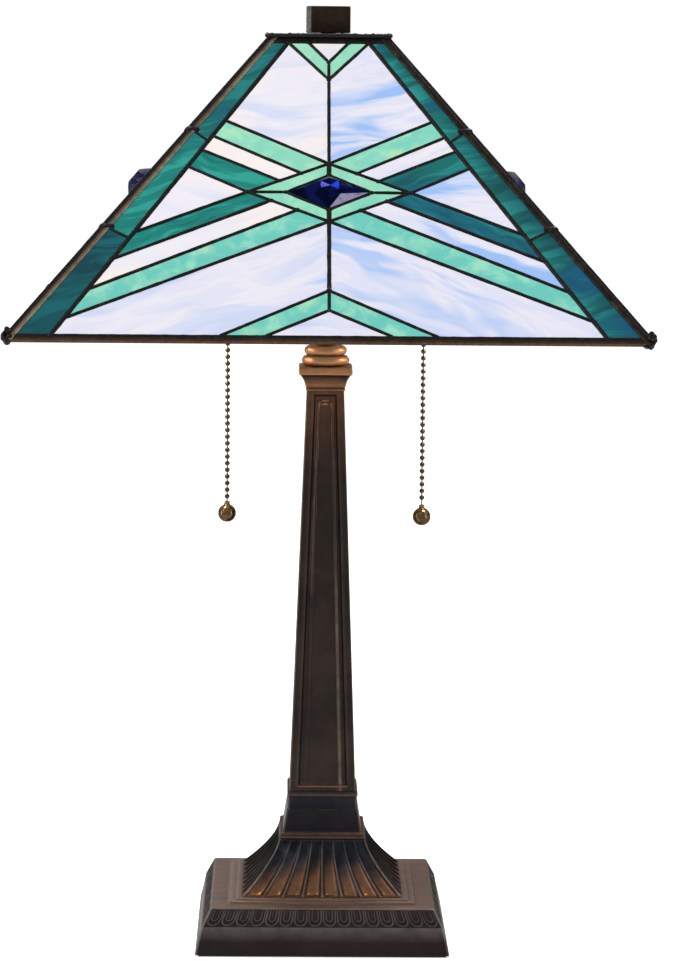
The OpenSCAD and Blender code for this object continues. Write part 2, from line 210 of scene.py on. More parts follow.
# ------------------------------------------------------------------ materials
def metal(name, dark, mid, worn_and_highlight, metallic=0.85, rough=(0.32, 0.5), scale=60, wear=1.0, copper=None, spec=0.5, grain=0.12):
    """Patinated metal: cloudy patina, fine casting grain, rubbed edges with painted highlights from one mesh attribute,
    painted light and shade (and on some pieces a plain tint) from a second, and painted shade from a third.
    """
    k = Mat(name, Metallic=metallic, Specular_IOR_Level=spec, Specular_Tint=(0.3, 0.28, 0.26, 1))
    co = k.coords()
    cloud = k.noise(co, scale, 5, 0.6, 0.6)
    col = k.mix(k.span(cloud, 0.35, 0.68), srgb(dark), srgb(mid))
    # one attribute carries rubbed edges and painted highlights: both lighten the metal towards its worn colour
    w = k.attr("wear", "Fac")
    patch = k.span(k.noise(co, scale * 5, 3, 0.6), 0.25, 0.7, 0.45, 1.0)
    rub_and_highlight = k.math("MULTIPLY", k.math("MULTIPLY", w, patch), wear, clamp=True)
    col = k.mix(rub_and_highlight, col, srgb(worn_and_highlight))
    # a second attribute mixes in the tint colour: on most pieces painted warm light and painted shade, on a few a plain
    # tint
    if copper:
        cu = k.attr("copper", "Fac")
        cm = k.math("MULTIPLY", cu, k.span(k.noise(co, scale * 3, 4, 0.6), 0.2, 0.75, 0.5, 1.0), clamp=True)
        col = k.mix(cm, col, srgb(copper))
    # painted shade: the groove attribute darkens recesses, creases and the sides of ribs towards near black
    col = k.mix(k.attr("groove", "Fac"), col, srgb("#0b0a0a"))
    k.set("Base Color", col)
    r = k.span(k.noise(co, scale * 8, 3, 0.5), 0.3, 0.7, rough[0], rough[1])
    k.set("Roughness", r)
    k.bump(k.noise(co, 900, 4, 0.6), grain, 0.0004)
    return k.m


BRONZE = metal("oiled_bronze", "#2a2422", "#41362f", "#7b5a40", copper="#b9743a")
BRONZE_DARK = metal("finial_bronze", "#1f1a17", "#2d2622", "#4a3a2e", rough=(0.4, 0.6))
COPPER = metal("copper_bronze", "#5e3d27", "#8f6038", "#c08a55", rough=(0.22, 0.36), copper="#d39350")
BRASS_OLD = metal("antique_brass", "#5a4028", "#8a6238", "#b98b52", metallic=1.0, rough=(0.18, 0.32), scale=160)
# its near-black tint colour is painted shade on the right wing of each hip came
BRASS_PATINA = metal("patina_brass", "#2a211b", "#45372b", "#a8967f", metallic=0.7, rough=(0.34, 0.5), scale=45, copper="#120d0a")
BRASS_RIM = metal("rim_brass", "#1c1512", "#33271f", "#665040", rough=(0.3, 0.45), scale=45)
BRASS_NEW = metal("plain_brass", "#a8843c", "#c39d4f", "#dcc07a", metallic=1.0, rough=(0.2, 0.34), scale=120)


def solder_material(name, low, high, rough, metallic):
    k = Mat(name, Metallic=metallic, Specular_IOR_Level=0.4)
    co = k.coords()
    n = k.noise(co, 260, 5, 0.65, 0.4)
    k.set("Base Color", k.mix(k.span(n, 0.52, 0.78), srgb(low), srgb(high)))
    k.set("Roughness", k.span(k.noise(co, 700, 3, 0.5), 0.3, 0.7, rough[0], rough[1]))
    k.bump(k.noise(co, 420, 3, 0.5), 0.16, 0.0005)
    return k.m


SOLDER = solder_material("dark_solder", "#120f0e", "#3a302a", (0.28, 0.5), 0.7)
SOLDER_MATT = solder_material("top_solder", "#0d0b0b", "#221b18", (0.45, 0.65), 0.35)


def glass_material(name, kind):
    """Opalescent sheet glass with a painted backlight: its emission is a painted glow for the bulbs' light passing
    through. gpos holds the place in the sheet (metres, x along the streaks), gtone the sheet's own tone, with painted
    shade towards the hip on the right border pieces, and gglow how near the piece lies to the bulbs, which sets the
    painted glow's strength."""
    k = Mat(name, Roughness=0.28, Coat_Weight=0.05, Coat_Roughness=0.08, Specular_IOR_Level=0.12)
    p = k.attr("gpos")
    tone = k.attr("gtone", "Fac")
    glow = k.attr("gglow", "Fac")
    if kind == "white":
        warp = k.noise(p, 14, 2, 0.5, 0.0, "Color")
        bent = k.mix(0.03, p, warp, "ADD")
        st = k.noise(k.mapping(bent, (9, 46, 1)), 1.0, 3, 0.5, 0.7)
        st2 = k.noise(k.mapping(bent, (20, 95, 1), loc=(3, 7, 0)), 1.0, 4, 0.55, 0.6)
        broad = k.noise(k.mapping(p, (7, 17, 1), loc=(9, 2, 0)), 1.0, 2, 0.45, 0.5)
        wisp = k.span(st, 0.45, 0.60)
        fine = k.math("MULTIPLY", k.span(st2, 0.52, 0.66), 0.4)
        veil = k.span(broad, 0.36, 0.56, 0.2, 1.0)
        amount = k.math("MULTIPLY", k.math("MULTIPLY", k.math("ADD", wisp, fine), veil), tone, clamp=True)
        rose = k.span(k.noise(k.mapping(p, (11, 24, 1), loc=(1, 5, 0)), 1.0, 2, 0.5, 0.4), 0.42, 0.60, 0.0, 1.0)
        pale = k.mix(rose, srgb("#eeebf3"), srgb("#f9efea"))
        cool = k.mix(k.span(st2, 0.42, 0.6, 0.0, 0.9), srgb("#dfe1f4"), srgb("#f0ebf2"))
        base = k.mix(k.span(tone, 0.15, 0.75), pale, cool)
        col = k.mix(amount, base, srgb("#9cc0f4"))
        strength = k.span(glow, 0.0, 1.0, 0.88, 0.93)
    elif kind == "mint":
        mott = k.noise(p, 60, 4, 0.6, 0.5)
        spot = k.voronoi(k.mapping(p, (40, 58, 1)), 1.0)
        body = k.mix(tone, srgb("#97dfc0"), srgb("#6dcdc0"))
        body = k.mix(k.span(mott, 0.42, 0.68, 0.0, 0.7), body, srgb("#aeecca"))
        body = k.mix(k.span(mott, 0.42, 0.28, 0.0, 0.5), body, srgb("#74cbb8"))
        # painted light: bright spots, strongest near the bulbs, stand for the bulbs' glow showing through the mint
        # glass
        painted_hotspot = k.math("MULTIPLY", k.span(spot, 0.42, 0.08), k.span(k.noise(p, 34, 2, 0.5), 0.42, 0.6))
        painted_hotspot = k.math("MULTIPLY", painted_hotspot, k.span(glow, 0.0, 1.0, 0.35, 0.9), clamp=True)
        col = k.mix(painted_hotspot, body, srgb("#c6f2b4"))
        strength = k.span(glow, 0.0, 1.0, 0.84, 0.93)
    elif kind == "teal":
        warp = k.noise(p, 26, 2, 0.5, 0.0, "Color")
        bent = k.mix(0.02, p, warp, "ADD")
        st = k.noise(k.mapping(bent, (14, 95, 1)), 1.0, 4, 0.6, 0.7)
        big = k.noise(k.mapping(p, (10, 26, 1), loc=(4, 1, 0)), 1.0, 2, 0.5, 0.6)
        body = k.mix(tone, srgb("#178a7e"), srgb("#07505a"))
        body = k.mix(k.span(st, 0.50, 0.60, 0.0, 0.8), body, k.mix(tone, srgb("#36b3a2"), srgb("#0c666c")))
        body = k.mix(k.span(st, 0.48, 0.38, 0.0, 0.8), body, k.mix(tone, srgb("#0a6a60"), srgb("#053c44")))
        blue = k.math("MULTIPLY", k.span(big, 0.52, 0.64), k.span(tone, 0.1, 1.2, 0.15, 0.8), clamp=True)
        col = k.mix(blue, body, srgb("#0a5580"))
        strength = k.span(glow, 0.0, 1.0, 0.84, 0.95)
    # painted light: the emission is a glow standing in for the bulbs' light passing through the glass, brighter near
    # the bulbs
    k.set("Base Color", k.mix(0.88, col, (0, 0, 0), "MULTIPLY"))
    k.set("Emission Color", col)
    k.set("Emission Strength", strength)
    k.bump(k.noise(p, 110, 3, 0.5), 0.10, 0.0008)
    return k.m


GLASS = {kind: glass_material(kind + "_glass", kind) for kind in ("white", "mint", "teal")}


JEWEL_TONES = (("navy", "#030828", 0.75), ("deep", "#07134c", 0.8), ("light", "#1f5a9a", 0.85), ("steel", "#4a7ab5", 0.85),
               ("haze", "#9a95b5", 0.85), ("moss", "#6f8a94", 0.85), ("blue", "#3048f0", 0.95), ("violet", "#6a70ff", 0.95))


def jewel_material():
    """Cobalt stone: each facet's tone comes from its own face attribute, as the light inside a cut stone falls."""
    k = Mat("cobalt_glass", Roughness=0.3, Coat_Weight=0.0, IOR=1.45, Specular_IOR_Level=0.02)
    f = k.attr("facet", "Fac")
    co = k.coords()
    n = len(JEWEL_TONES)
    col = k.ramp(f, [(i / n, srgb(c)) for i, (_, c, _) in enumerate(JEWEL_TONES)], "CONSTANT")
    tint = k.span(k.noise(co, 260, 3, 0.5, 0.8), 0.42, 0.72, 0.0, 0.45)
    col = k.mix(tint, col, srgb("#040928"))
    k.set("Base Color", k.mix(0.93, col, (0, 0, 0), "MULTIPLY"))
    # painted light: the stone glows with its facet tones, a painted glow though it is no lamp
    k.set("Emission Color", col)
    k.set("Emission Strength", 0.78)
    return k.m


JEWEL = jewel_material()


def simple(name, a, b, scale, rough, metallic=0.0, bump=(200, 0.2, 0.0003), **more):
    k = Mat(name, Metallic=metallic, **more)
    co = k.coords()
    k.set("Base Color", k.mix(k.span(k.noise(co, scale, 4, 0.6), 0.35, 0.65), srgb(a), srgb(b)))
    k.set("Roughness", k.span(k.noise(co, scale * 2, 3, 0.5), 0.3, 0.7, rough[0], rough[1]))
    k.bump(k.noise(co, bump[0], 4, 0.6), bump[1], bump[2])
    return k.m


FELT = simple("felt", "#15171a", "#23262a", 700, (0.9, 1.0), bump=(1800, 0.8, 0.0006), Sheen_Weight=0.4)
BLACK_PLASTIC = simple("black_plastic", "#141416", "#1d1d20", 300, (0.35, 0.5))
IRON = simple("ballast_iron", "#2f2e2d", "#45423f", 120, (0.6, 0.85), metallic=0.6, bump=(400, 0.5, 0.0008))
PORCELAIN = simple("porcelain", "#e2dccd", "#efeadd", 90, (0.15, 0.3))
BULB_CAP = simple("bulb_cap", "#a7a39b", "#c6c2ba", 250, (0.2, 0.35), metallic=1.0)


def bulb_material():
    k = Mat("lit_bulb", Roughness=0.3)
    co = k.coords()
    n = k.noise(co, 90, 3, 0.5)
    col = k.mix(k.span(n, 0.35, 0.65), srgb("#ffe9c4"), srgb("#fff3dc"))
    k.set("Base Color", col)
    k.set("Emission Color", col)
    k.b.inputs["Emission Strength"].default_value = 6.0
    return k.m


BULB = bulb_material()


# ------------------------------------------------------------------ mesh helpers
def make(name, verts, faces, body, mat, nodes=(), attrs=None, smooth=35, faceattrs=None):
    """A mesh object in the row frame from vertices in millimetres."""
    me = bpy.data.meshes.new(name)
    v = np.asarray(verts, float) * MM
    me.from_pydata(v.tolist(), [], [list(f) for f in faces])
    me.validate()
    bm = bmesh.new()
    bm.from_mesh(me)
    bmesh.ops.recalc_face_normals(bm, faces=bm.faces)
    bm.to_mesh(me)
    bm.free()
    for a, vals in (attrs or {}).items():
        arr = np.asarray(vals, np.float32)
        if arr.ndim == 1:
            me.attributes.new(a, "FLOAT", "POINT").data.foreach_set("value", arr)
        else:
            me.attributes.new(a, "FLOAT_VECTOR", "POINT").data.foreach_set("vector", arr.ravel())
    for a, vals in (faceattrs or {}).items():
        me.attributes.new(a, "FLOAT", "FACE").data.foreach_set("value", np.asarray(vals, np.float32))
    if smooth:
        me.shade_smooth()
        me.set_sharp_from_angle(angle=math.radians(smooth))
    me.materials.append(mat)
    me.update()
    o = bpy.data.objects.new(name, me)
    scene.collection.objects.link(o)
    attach(o, body)
    if nodes:
        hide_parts(*nodes)
    return o


class Bag:
    """Collects closed pieces into one mesh."""

    def __init__(self):
        self.v, self.f, self.a = [], [], {}

    def add(self, verts, faces, **attrs):
        n = len(self.v)
        verts = [tuple(p) for p in verts]
        self.v += verts
        self.f += [tuple(i + n for i in f) for f in faces]
        for k in set(self.a) | set(attrs):
            vals = self.a.setdefault(k, [])
            new = attrs.get(k)
            while len(vals) < n:
                vals.append(0.0)
            vals.extend(list(new) if new is not None else [0.0] * len(verts))


def fillet(pts, r, n=3):
    """Rounds the inner corners of an open profile [(x, z)]. Returns (x, z, turn), turn > 0 where the corner is convex outward."""
    out = [(pts[0][0], pts[0][1], 0.0)]
    for i in range(1, len(pts) - 1):
        a, b, c = (np.array(pts[j][:2], float) for j in (i - 1, i, i + 1))
        rr = pts[i][2] if len(pts[i]) > 2 else r
        u, w = a - b, c - b
        lu, lw = np.linalg.norm(u), np.linalg.norm(w)
        if lu < 1e-6 or lw < 1e-6:
            continue
        u, w = u / lu, w / lw
        ang = math.acos(max(-1, min(1, float(u @ w))))
        turn = float(np.cross(-u, w))
        if ang > math.pi - 0.03 or rr <= 0:
            out.append((b[0], b[1], 0.0))
            continue
        d = min(rr / math.tan(ang / 2), 0.45 * lu, 0.45 * lw)
        p0, p1 = b + u * d, b + w * d
        sign = 1.0 if turn > 0 else -1.0
        sharp = min(1.0, (math.pi - ang) / 1.2)
        for k in range(n + 1):
            t = k / n
            q = (1 - t) ** 2 * p0 + 2 * t * (1 - t) * b + t * t * p1
            out.append((q[0], q[1], sign * sharp))
    out.append((pts[-1][0], pts[-1][1], 0.0))
    return out


def rounded_ring(h, rc, seg):
    """A square ring of half width h with rounded corners, counter-clockwise from above."""
    rc = min(rc, h * 0.9)
    pts = []
    for q in range(4):
        a0 = math.radians(90 * q)
        cx, cy = (h - rc) * (1 if q in (0, 3) else -1), (h - rc) * (1 if q in (0, 1) else -1)
        for k in range(seg + 1):
            a = a0 + math.radians(90 * k / seg)
            pts.append((cx + rc * math.cos(a), cy + rc * math.sin(a)))
    return pts


def square_loft(name, profile, body, mat, nodes, rc=0.8, seg=4, fr=0.6, turn_deg=0.0, cap=True, wear_gain=1.0):
    """A square-plan moulding with mitred, softly rounded corners."""
    prof = fillet(profile, fr)
    verts, wear = [], []
    ca, sa = math.cos(math.radians(turn_deg)), math.sin(math.radians(turn_deg))
    for h, z, t in prof:
        ring = rounded_ring(h, rc, seg)
        for k, (x, y) in enumerate(ring):
            verts.append((x * ca - y * sa, x * sa + y * ca, z))
            corner = (k % (seg + 1)) not in (0, seg)
            wear.append(min(1.0, wear_gain * (max(0.0, t) * 0.8 + (0.5 if corner else 0.0))))
    n = 4 * (seg + 1)
    faces = []
    for i in range(len(prof) - 1):
        for k in range(n):
            a, b = i * n + k, i * n + (k + 1) % n
            faces.append((a, b, b + n, a + n))
    if cap:
        faces.append(tuple(range(n - 1, -1, -1)))
        faces.append(tuple((len(prof) - 1) * n + k for k in range(n)))
    return make(name, verts, faces, body, mat, nodes, {"wear": wear})


def lathe_data(profile, seg=48, fr=0.0, fn=3):
    """A closed or open turned surface. A profile point at radius 0 is a pole."""
    prof = fillet(profile, fr, fn) if fr else [(p[0], p[1], 0.0) for p in profile]
    verts, faces, wear, rings = [], [], [], []
    for r, z, t in prof:
        if r < 1e-6:
            rings.append([len(verts)])
            verts.append((0, 0, z))
            wear.append(max(0, t))
        else:
            s = len(verts)
            rings.append(list(range(s, s + seg)))
            for k in range(seg):
                a = 2 * math.pi * k / seg
                verts.append((r * math.cos(a), r * math.sin(a), z))
                wear.append(max(0, t) * 0.7)
    for a, b in zip(rings, rings[1:]):
        for k in range(seg):
            j = (k + 1) % seg
            if len(a) == 1 and len(b) == 1:
                continue
            if len(a) == 1:
                faces.append((a[0], b[j], b[k]))
            elif len(b) == 1:
                faces.append((a[k], a[j], b[0]))
            else:
                faces.append((a[k], a[j], b[j], b[k]))
    return verts, faces, wear


def closed_lathe(outer, seg=48, fr=0.0, fn=3):
    """A turned solid whose profile is closed: the last point joins the first."""
    v, f, w = lathe_data(outer + [outer[0]], seg, fr, fn)
    return v, f, w


def sphere_data(c, r, seg=14, rings=9, squash=(1, 1, 1)):
    v = [(c[0], c[1], c[2] - r * squash[2])]
    for i in range(1, rings):
        a = -math.pi / 2 + math.pi * i / rings
        for k in range(seg):
            b = 2 * math.pi * k / seg
            v.append((c[0] + r * squash[0] * math.cos(a) * math.cos(b), c[1] + r * squash[1] * math.cos(a) * math.sin(b), c[2] + r * squash[2] * math.sin(a)))
    v.append((c[0], c[1], c[2] + r * squash[2]))
    f = []
    for k in range(seg):
        j = (k + 1) % seg
        f.append((0, 1 + j, 1 + k))
        for i in range(rings - 2):
            a, b = 1 + i * seg, 1 + (i + 1) * seg
            f.append((a + k, a + j, b + j, b + k))
        last = len(v) - 1
        f.append((1 + (rings - 2) * seg + k, 1 + (rings - 2) * seg + j, last))
    return v, f


def transform(verts, m):
    return [tuple(m @ Vector(p)) for p in verts]


def mm_box(node):
    lo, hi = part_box(node)
    return Vector(lo) / MM, Vector(hi) / MM


def hash01(*k):
    """A repeatable number from 0 to 1."""
    x = math.sin(sum((i + 1) * 12.9898 * float(v) + 78.233 * (i + 1) for i, v in enumerate(k))) * 43758.5453
    return x - math.floor(x)


# ------------------------------------------------------------------ shade frame
cap_lo, cap_hi = mm_box("top_cap")
TOP_Z, TOP_HALF = cap_lo.z - 1.8, cap_hi.x - 5
rc_lo, rc_hi = mm_box("rim_channel")
RIM_LO, RIM_T = 0.7, 1.8
RIM_Z, RIM_HALF = rc_lo.z + 1, rc_hi.x - 1
for _ in range(12):
    SL = math.atan2(TOP_Z - RIM_Z, RIM_HALF - TOP_HALF)
    RIM_Z = rc_lo.z - RIM_LO * math.sin(SL) + RIM_T * math.cos(SL)
    RIM_HALF = rc_hi.x + RIM_LO * math.cos(SL) - RIM_T * math.sin(SL)
SLANT = math.hypot(TOP_Z - RIM_Z, RIM_HALF - TOP_HALF)
TANH = (RIM_HALF - TOP_HALF) / SLANT
SEC = math.sqrt(1 + TANH * TANH)
V0, V1 = 4.0, SLANT - 5.3
GLASS_T, LEAD_T, HEART, HIP_GAP = 3.0, 2.2, 0.6, 3.0
SIDES = ("front", "right", "back", "left")


def panel(i):
    """Panel frame: x across, y up the slope, z outward, in millimetres."""
    return (Matrix.Rotation(math.radians(90 * i), 4, "Z") @ Matrix.Translation((0, -RIM_HALF, RIM_Z))
            @ Matrix.Rotation(SL, 4, "X"))


PANEL = [panel(i) for i in range(4)]
EYE_V, EYE_W, EYE_H, GEM_W, GEM_H = 120.8, 53.0, 23.9, 28.0, 14.2


def hipe(v, gap=HIP_GAP):
    return RIM_HALF - TANH * v - gap * SEC


def bord(v):
    return 178.5 - (178.5 - 27) / V1 * v


def on_b(v):
    return (bord(v), v)


def on_h(v):
    return (hipe(v), v)


def dia(u, s):
    return (u, EYE_V + s * EYE_H * (1 - u / EYE_W))


UP_IN, UP_OUT = (0, 18, 32, EYE_W), (180.7, 167.5, 155.8, 141.6)
LO_IN, LO_OUT = (EYE_W, 37.5, 20.5, 0), (86.8, 65, 40.6, 17.8)


def right_cells():
    c = [("mint", [(0, 216.2), (27, V1), (13.5, V1), (0, 231.4)]),
         ("white", [(0, EYE_V + EYE_H), on_b(UP_OUT[0]), (27, V1), (0, 216.2)])]
    for i, kind in enumerate(("mint", "white", "teal")):
        c.append((kind, [dia(UP_IN[i + 1], 1), on_b(UP_OUT[i + 1]), on_b(UP_OUT[i]), dia(UP_IN[i], 1)]))
    c.append(("white", [(EYE_W, EYE_V), on_b(LO_OUT[0]), on_b(UP_OUT[3])]))
    for i, kind in enumerate(("teal", "white", "mint")):
        c.append((kind, [dia(LO_IN[i + 1], -1), on_b(LO_OUT[i + 1]), on_b(LO_OUT[i]), dia(LO_IN[i], -1)]))
    c += [("white", [(0, 41.1), (70.5, V0), on_b(V0), on_b(LO_OUT[3]), (0, EYE_V - EYE_H)]),
          ("mint", [(0, 25.4), (42, V0), (70.5, V0), (0, 41.1)]),
          ("mint", [(0, EYE_V + GEM_H), (GEM_W, EYE_V), (EYE_W, EYE_V), (0, EYE_V + EYE_H)]),
          ("mint", [(0, EYE_V - EYE_H), (EYE_W, EYE_V), (GEM_W, EYE_V), (0, EYE_V - GEM_H)]),
          ("teal", [on_b(V1), on_b(162.9), on_h(171.5), on_h(V1)]),
          ("teal", [on_b(162.9), on_b(82.2), on_h(90.3), on_h(171.5)]),
          ("teal", [on_b(82.2), on_b(V0), on_h(V0), on_h(90.3)])]
    return c


def all_cells():
    out = []
    for n, (kind, p) in enumerate(right_cells()):
        out.append((kind, p, 1, n))
        out.append((kind, [(-x, y) for x, y in reversed(p)], -1, n))
    out.append(("white", [(0, 231.4), (13.5, V1), (-13.5, V1)], 0, 20))
    out.append(("white", [(0, 25.4), (-42, V0), (42, V0)], 0, 21))
    return out


def inset(p, d):
    out = []
    n = len(p)
    for i in range(n):
        a, b, c = (np.array(p[(i + k) % n], float) for k in (-1, 0, 1))
        e1, e2 = (b - a) / np.linalg.norm(b - a), (c - b) / np.linalg.norm(c - b)
        n1, n2 = np.array((-e1[1], e1[0])), np.array((-e2[1], e2[0]))
        out.append(b + d / (1 + n1 @ n2) * (n1 + n2))
    return out


# ------------------------------------------------------------------ glass
BULBS = []
for s in ("left", "right"):
    lo, hi = mm_box(s + "_bulb_glass")
    BULBS.append((lo + hi) / 2)


def glow_at(w):
    d = min((w - b).length for b in BULBS)
    return max(0.0, min(1.0, 1.25 - d / 170.0))


def glass_pieces():
    for i, side in enumerate(SIDES):
        bags = {k: Bag() for k in GLASS}
        for kind, poly, sgn, num in all_cells():
            p = inset(poly, HEART)
            q = inset(poly, HEART + 0.35)
            cx = sum(a[0] for a in poly) / len(poly)
            cy = sum(a[1] for a in poly) / len(poly)
            h = hash01(i + 1, num, sgn + 2)
            # streaks follow the strips: rising towards the middle on each side, across the border on the teal edge pieces
            painted_hip_shade = 0.0
            if kind == "white":
                ang = {1: 14, 0: 8, -1: 4}[sgn] if cy > 132 else {1: -24, 0: -4, -1: 20}[sgn]
                tone = {1: 1.1, 0: 0.2, -1: 0.34}[sgn] if cy > 132 else {1: 1.25, 0: 0.9, -1: 0.42}[sgn]
                if num == 5:
                    tone, ang = (0.85, 10) if sgn > 0 else (0.3, -14)
                if num == 3:
                    tone = 0.45 if sgn > 0 else 0.05
                if num == 7:
                    tone = 1.15 if sgn > 0 else 0.12
                if num == 9:
                    tone = 1.15 if sgn > 0 else 0.6
            elif kind == "mint":
                ang = 0
                tone = min(1.0, max(0.0, 0.22 + abs(cx) / 150.0 - (cy - 119) / 200.0 + (0.28 if sgn > 0 else 0.0)))
                if num in (11, 12):
                    tone = 0.05 if num == 11 else 0.3
            else:
                border = num >= 13
                ang = (12 if sgn > 0 else 20) if border else (26 if sgn * (cy - 119) > 0 else -26)
                tone = ((0.62 if num == 13 else 0.8) if sgn > 0 else {13: 0.7, 14: 0.25, 15: 1.15}[num]) if border else (0.62 if sgn > 0 else 0.18)
                # painted shade: on the right border pieces the teal darkens towards the hip and lightens towards the
                # border line
                painted_hip_shade = 0.22 if border and sgn > 0 else 0.0
            ca, sa = math.cos(math.radians(ang)), math.sin(math.radians(ang))
            ox, oy = 0.7 * h, 0.9 * hash01(num + 3, i + 2, sgn + 5)
            rings = [(q, -GLASS_T / 2), (p, -GLASS_T / 2 + 0.35), (p, GLASS_T / 2 - 0.35), (q, GLASS_T / 2)]
            verts, gp, gt, gg = [], [], [], []
            n = len(p)
            for ring, w in rings:
                for x, y in ring:
                    wp = PANEL[i] @ Vector((x, y, w))
                    verts.append(tuple(wp))
                    dx, dy = (x - cx) * MM, (y - cy) * MM
                    gp.append((dx * ca + dy * sa + ox, -dx * sa + dy * ca + oy, w * MM + h * 3))
                    edge = 1.0 if abs(x) > abs(bord(y)) + 6 else -1.0
                    gt.append(min(1.25, max(0.0, tone + painted_hip_shade * edge)))
                    gg.append(glow_at(wp))
            faces = [tuple(range(n - 1, -1, -1)), tuple(3 * n + k for k in range(n))]
            for r in range(3):
                for k in range(n):
                    a, b = r * n + k, r * n + (k + 1) % n
                    faces.append((a, b, b + n, a + n))
            bag = bags[kind]
            base = len(bag.v)
            bag.v += verts
            bag.f += [tuple(v + base for v in f) for f in faces]
            bag.a.setdefault("gpos", []).extend(gp)
            bag.a.setdefault("gtone", []).extend(gt)
            bag.a.setdefault("gglow", []).extend(gg)
        for kind, bag in bags.items():
            make(f"{side}_{kind}_sheet", bag.v, bag.f, "shade", GLASS[kind], (f"{side}_{kind}_glass",), bag.a, smooth=0)


glass_pieces()


# ------------------------------------------------------------------ solder lines
def came_lines():
    """(start, end, half width) of every line of one panel."""
    out = []
    for s in (1, -1):
        m = lambda p: (s * p[0], p[1])
        w = 1.42
        out += [(m((0, 231.4)), m((13.5, V1)), w), (m((0, 216.2)), m((27, V1)), w)]
        for k in range(4):
            out.append((m(dia(UP_IN[k], 1)), m(on_b(UP_OUT[k])), w))
            out.append((m(dia(LO_IN[k], -1)), m(on_b(LO_OUT[k])), w + 0.12))
        out += [(m((0, 41.1)), m((70.5, V0)), w), (m((0, 25.4)), m((42, V0)), w)]
        for sg in (1, -1):
            out.append((m((0, EYE_V + sg * EYE_H)), m((EYE_W, EYE_V)), w))
            out.append((m((0, EYE_V + sg * GEM_H)), m((GEM_W, EYE_V)), 1.38))
        out.append((m((GEM_W, EYE_V)), m((EYE_W, EYE_V)), w))
        out.append((m(on_b(V0)), m(on_b(V1)), 1.85))
        out += [(m(on_b(162.9)), m(on_h(171.5)), 1.2), (m(on_b(82.2)), m(on_h(90.3)), 1.2)]
    out += [((0, 231.4), (0, 216.2), 1.3), ((0, 216.2), (0, EYE_V + EYE_H), 1.35), ((0, EYE_V + EYE_H), (0, EYE_V + GEM_H), 1.9),
            ((0, EYE_V - GEM_H), (0, EYE_V - EYE_H), 1.9), ((0, EYE_V - EYE_H), (0, 41.1), 1.65), ((0, 41.1), (0, 25.4), 1.45)]
    out += [((-hipe(V0), V0 + 0.3), (hipe(V0), V0 + 0.3), 1.4), ((-hipe(V1), V1 + 0.8), (hipe(V1), V1 + 0.8), 1.6)]
    return out


def solder_bead(bag, m, a, b, hw, seed, ht=2.55, step=2.6, rough=1.0):
    """A rounded bead of solder along one line, on both faces, a little uneven in width and height."""
    a, b = Vector((*a, 0)), Vector((*b, 0))
    d = b - a
    L = d.length
    d.normalize()
    side = Vector((-d.y, d.x, 0))
    n = max(3, int(L / step) + 1)
    K = 10
    verts, faces = [], []
    for i in range(n + 1):
        s = L * i / n
        q = noise.noise(Vector((s * 0.16, seed * 7.3, 0)))
        q2 = noise.noise(Vector((s * 0.4, seed * 3.1, 5)))
        w = hw * (1 + rough * (0.13 * q + 0.07 * q2))
        t = ht * (1 + rough * (0.05 * q2 + 0.04 * q))
        end = min(1.0, 0.55 + min(s, L - s) / 1.6)
        c = a + d * s + side * (0.12 * noise.noise(Vector((s * 0.09, seed, 9))))
        for k in range(K):
            an = 2 * math.pi * k / K
            x, z = math.cos(an), math.sin(an)
            p = c + side * (w * end * (abs(x) ** 0.8 * (1 if x > 0 else -1))) + Vector((0, 0, t * (0.9 + 0.1 * end) * (abs(z) ** 0.85 * (1 if z > 0 else -1))))
            verts.append(tuple(m @ p))
    for i in range(n):
        for k in range(K):
            j = (k + 1) % K
            faces.append((i * K + k, i * K + j, (i + 1) * K + j, (i + 1) * K + k))
    faces.append(tuple(range(K - 1, -1, -1)))
    faces.append(tuple(n * K + k for k in range(K)))
    bag.add(verts, faces)


def solder_blob(bag, m, p, r, t, seed):
    v, f = sphere_data((0, 0, 0), 1.0, 12, 8)
    out = []
    for q in v:
        q = Vector(q)
        k = 1 + 0.16 * noise.noise(q * 1.7 + Vector((seed * 5.1, seed, 0)))
        out.append(tuple(m @ Vector((p[0] + q.x * r * k, p[1] + q.y * r * k, q.z * t * (0.97 + 0.03 * k)))))
    bag.add(out, f)


def leading():
    for i, side in enumerate(SIDES):
        bag = Bag()
        ends = {}
        for n, (a, b, w) in enumerate(came_lines()):
            solder_bead(bag, PANEL[i], a, b, w, n + 40 * i)
            for p in (a, b):
                key = (round(p[0], 1), round(p[1], 1))
                ends[key] = max(ends.get(key, 0), w)
        for n, (p, w) in enumerate(sorted(ends.items())):
            solder_blob(bag, PANEL[i], p, w * 1.38 + 0.25 * hash01(n, i), 2.75, n + 17 * i)
        # lumps along the border line
        for s in (1, -1):
            for k in range(26):
                v = 10 + k * 9 + 5 * hash01(k, i, s)
                if v < V1 - 4:
                    solder_blob(bag, PANEL[i], (s * bord(v), v), 1.8 + 0.35 * hash01(k, s, i + 3), 2.66, k * 3 + i)
        o = make(f"{side}_solder_lines", bag.v, bag.f, "shade", SOLDER, (f"{side}_leading",), smooth=60)


leading()


# ------------------------------------------------------------------ hips, rim, top
def prism(bag, m, prof, z0, z1, n=1, wob=0.0, seed=0):
    """Extrudes a closed profile along local z, capped flat at both ends, with an optional noisy swell."""
    K = len(prof)
    verts, faces = [], []
    for i in range(n + 1):
        z = z0 + (z1 - z0) * i / n
        q = wob * noise.noise(Vector((z * 0.05, seed, 1))) if wob else 0
        for x, y in prof:
            verts.append(tuple(m @ Vector((x * (1 + q), y * (1 + q), z))))
    for i in range(n):
        for k in range(K):
            j = (k + 1) % K
            faces.append((i * K + k, i * K + j, (i + 1) * K + j, (i + 1) * K + k))
    faces.append(tuple(range(K - 1, -1, -1)))
    faces.append(tuple(n * K + k for k in range(K)))
    bag.add(verts, faces)


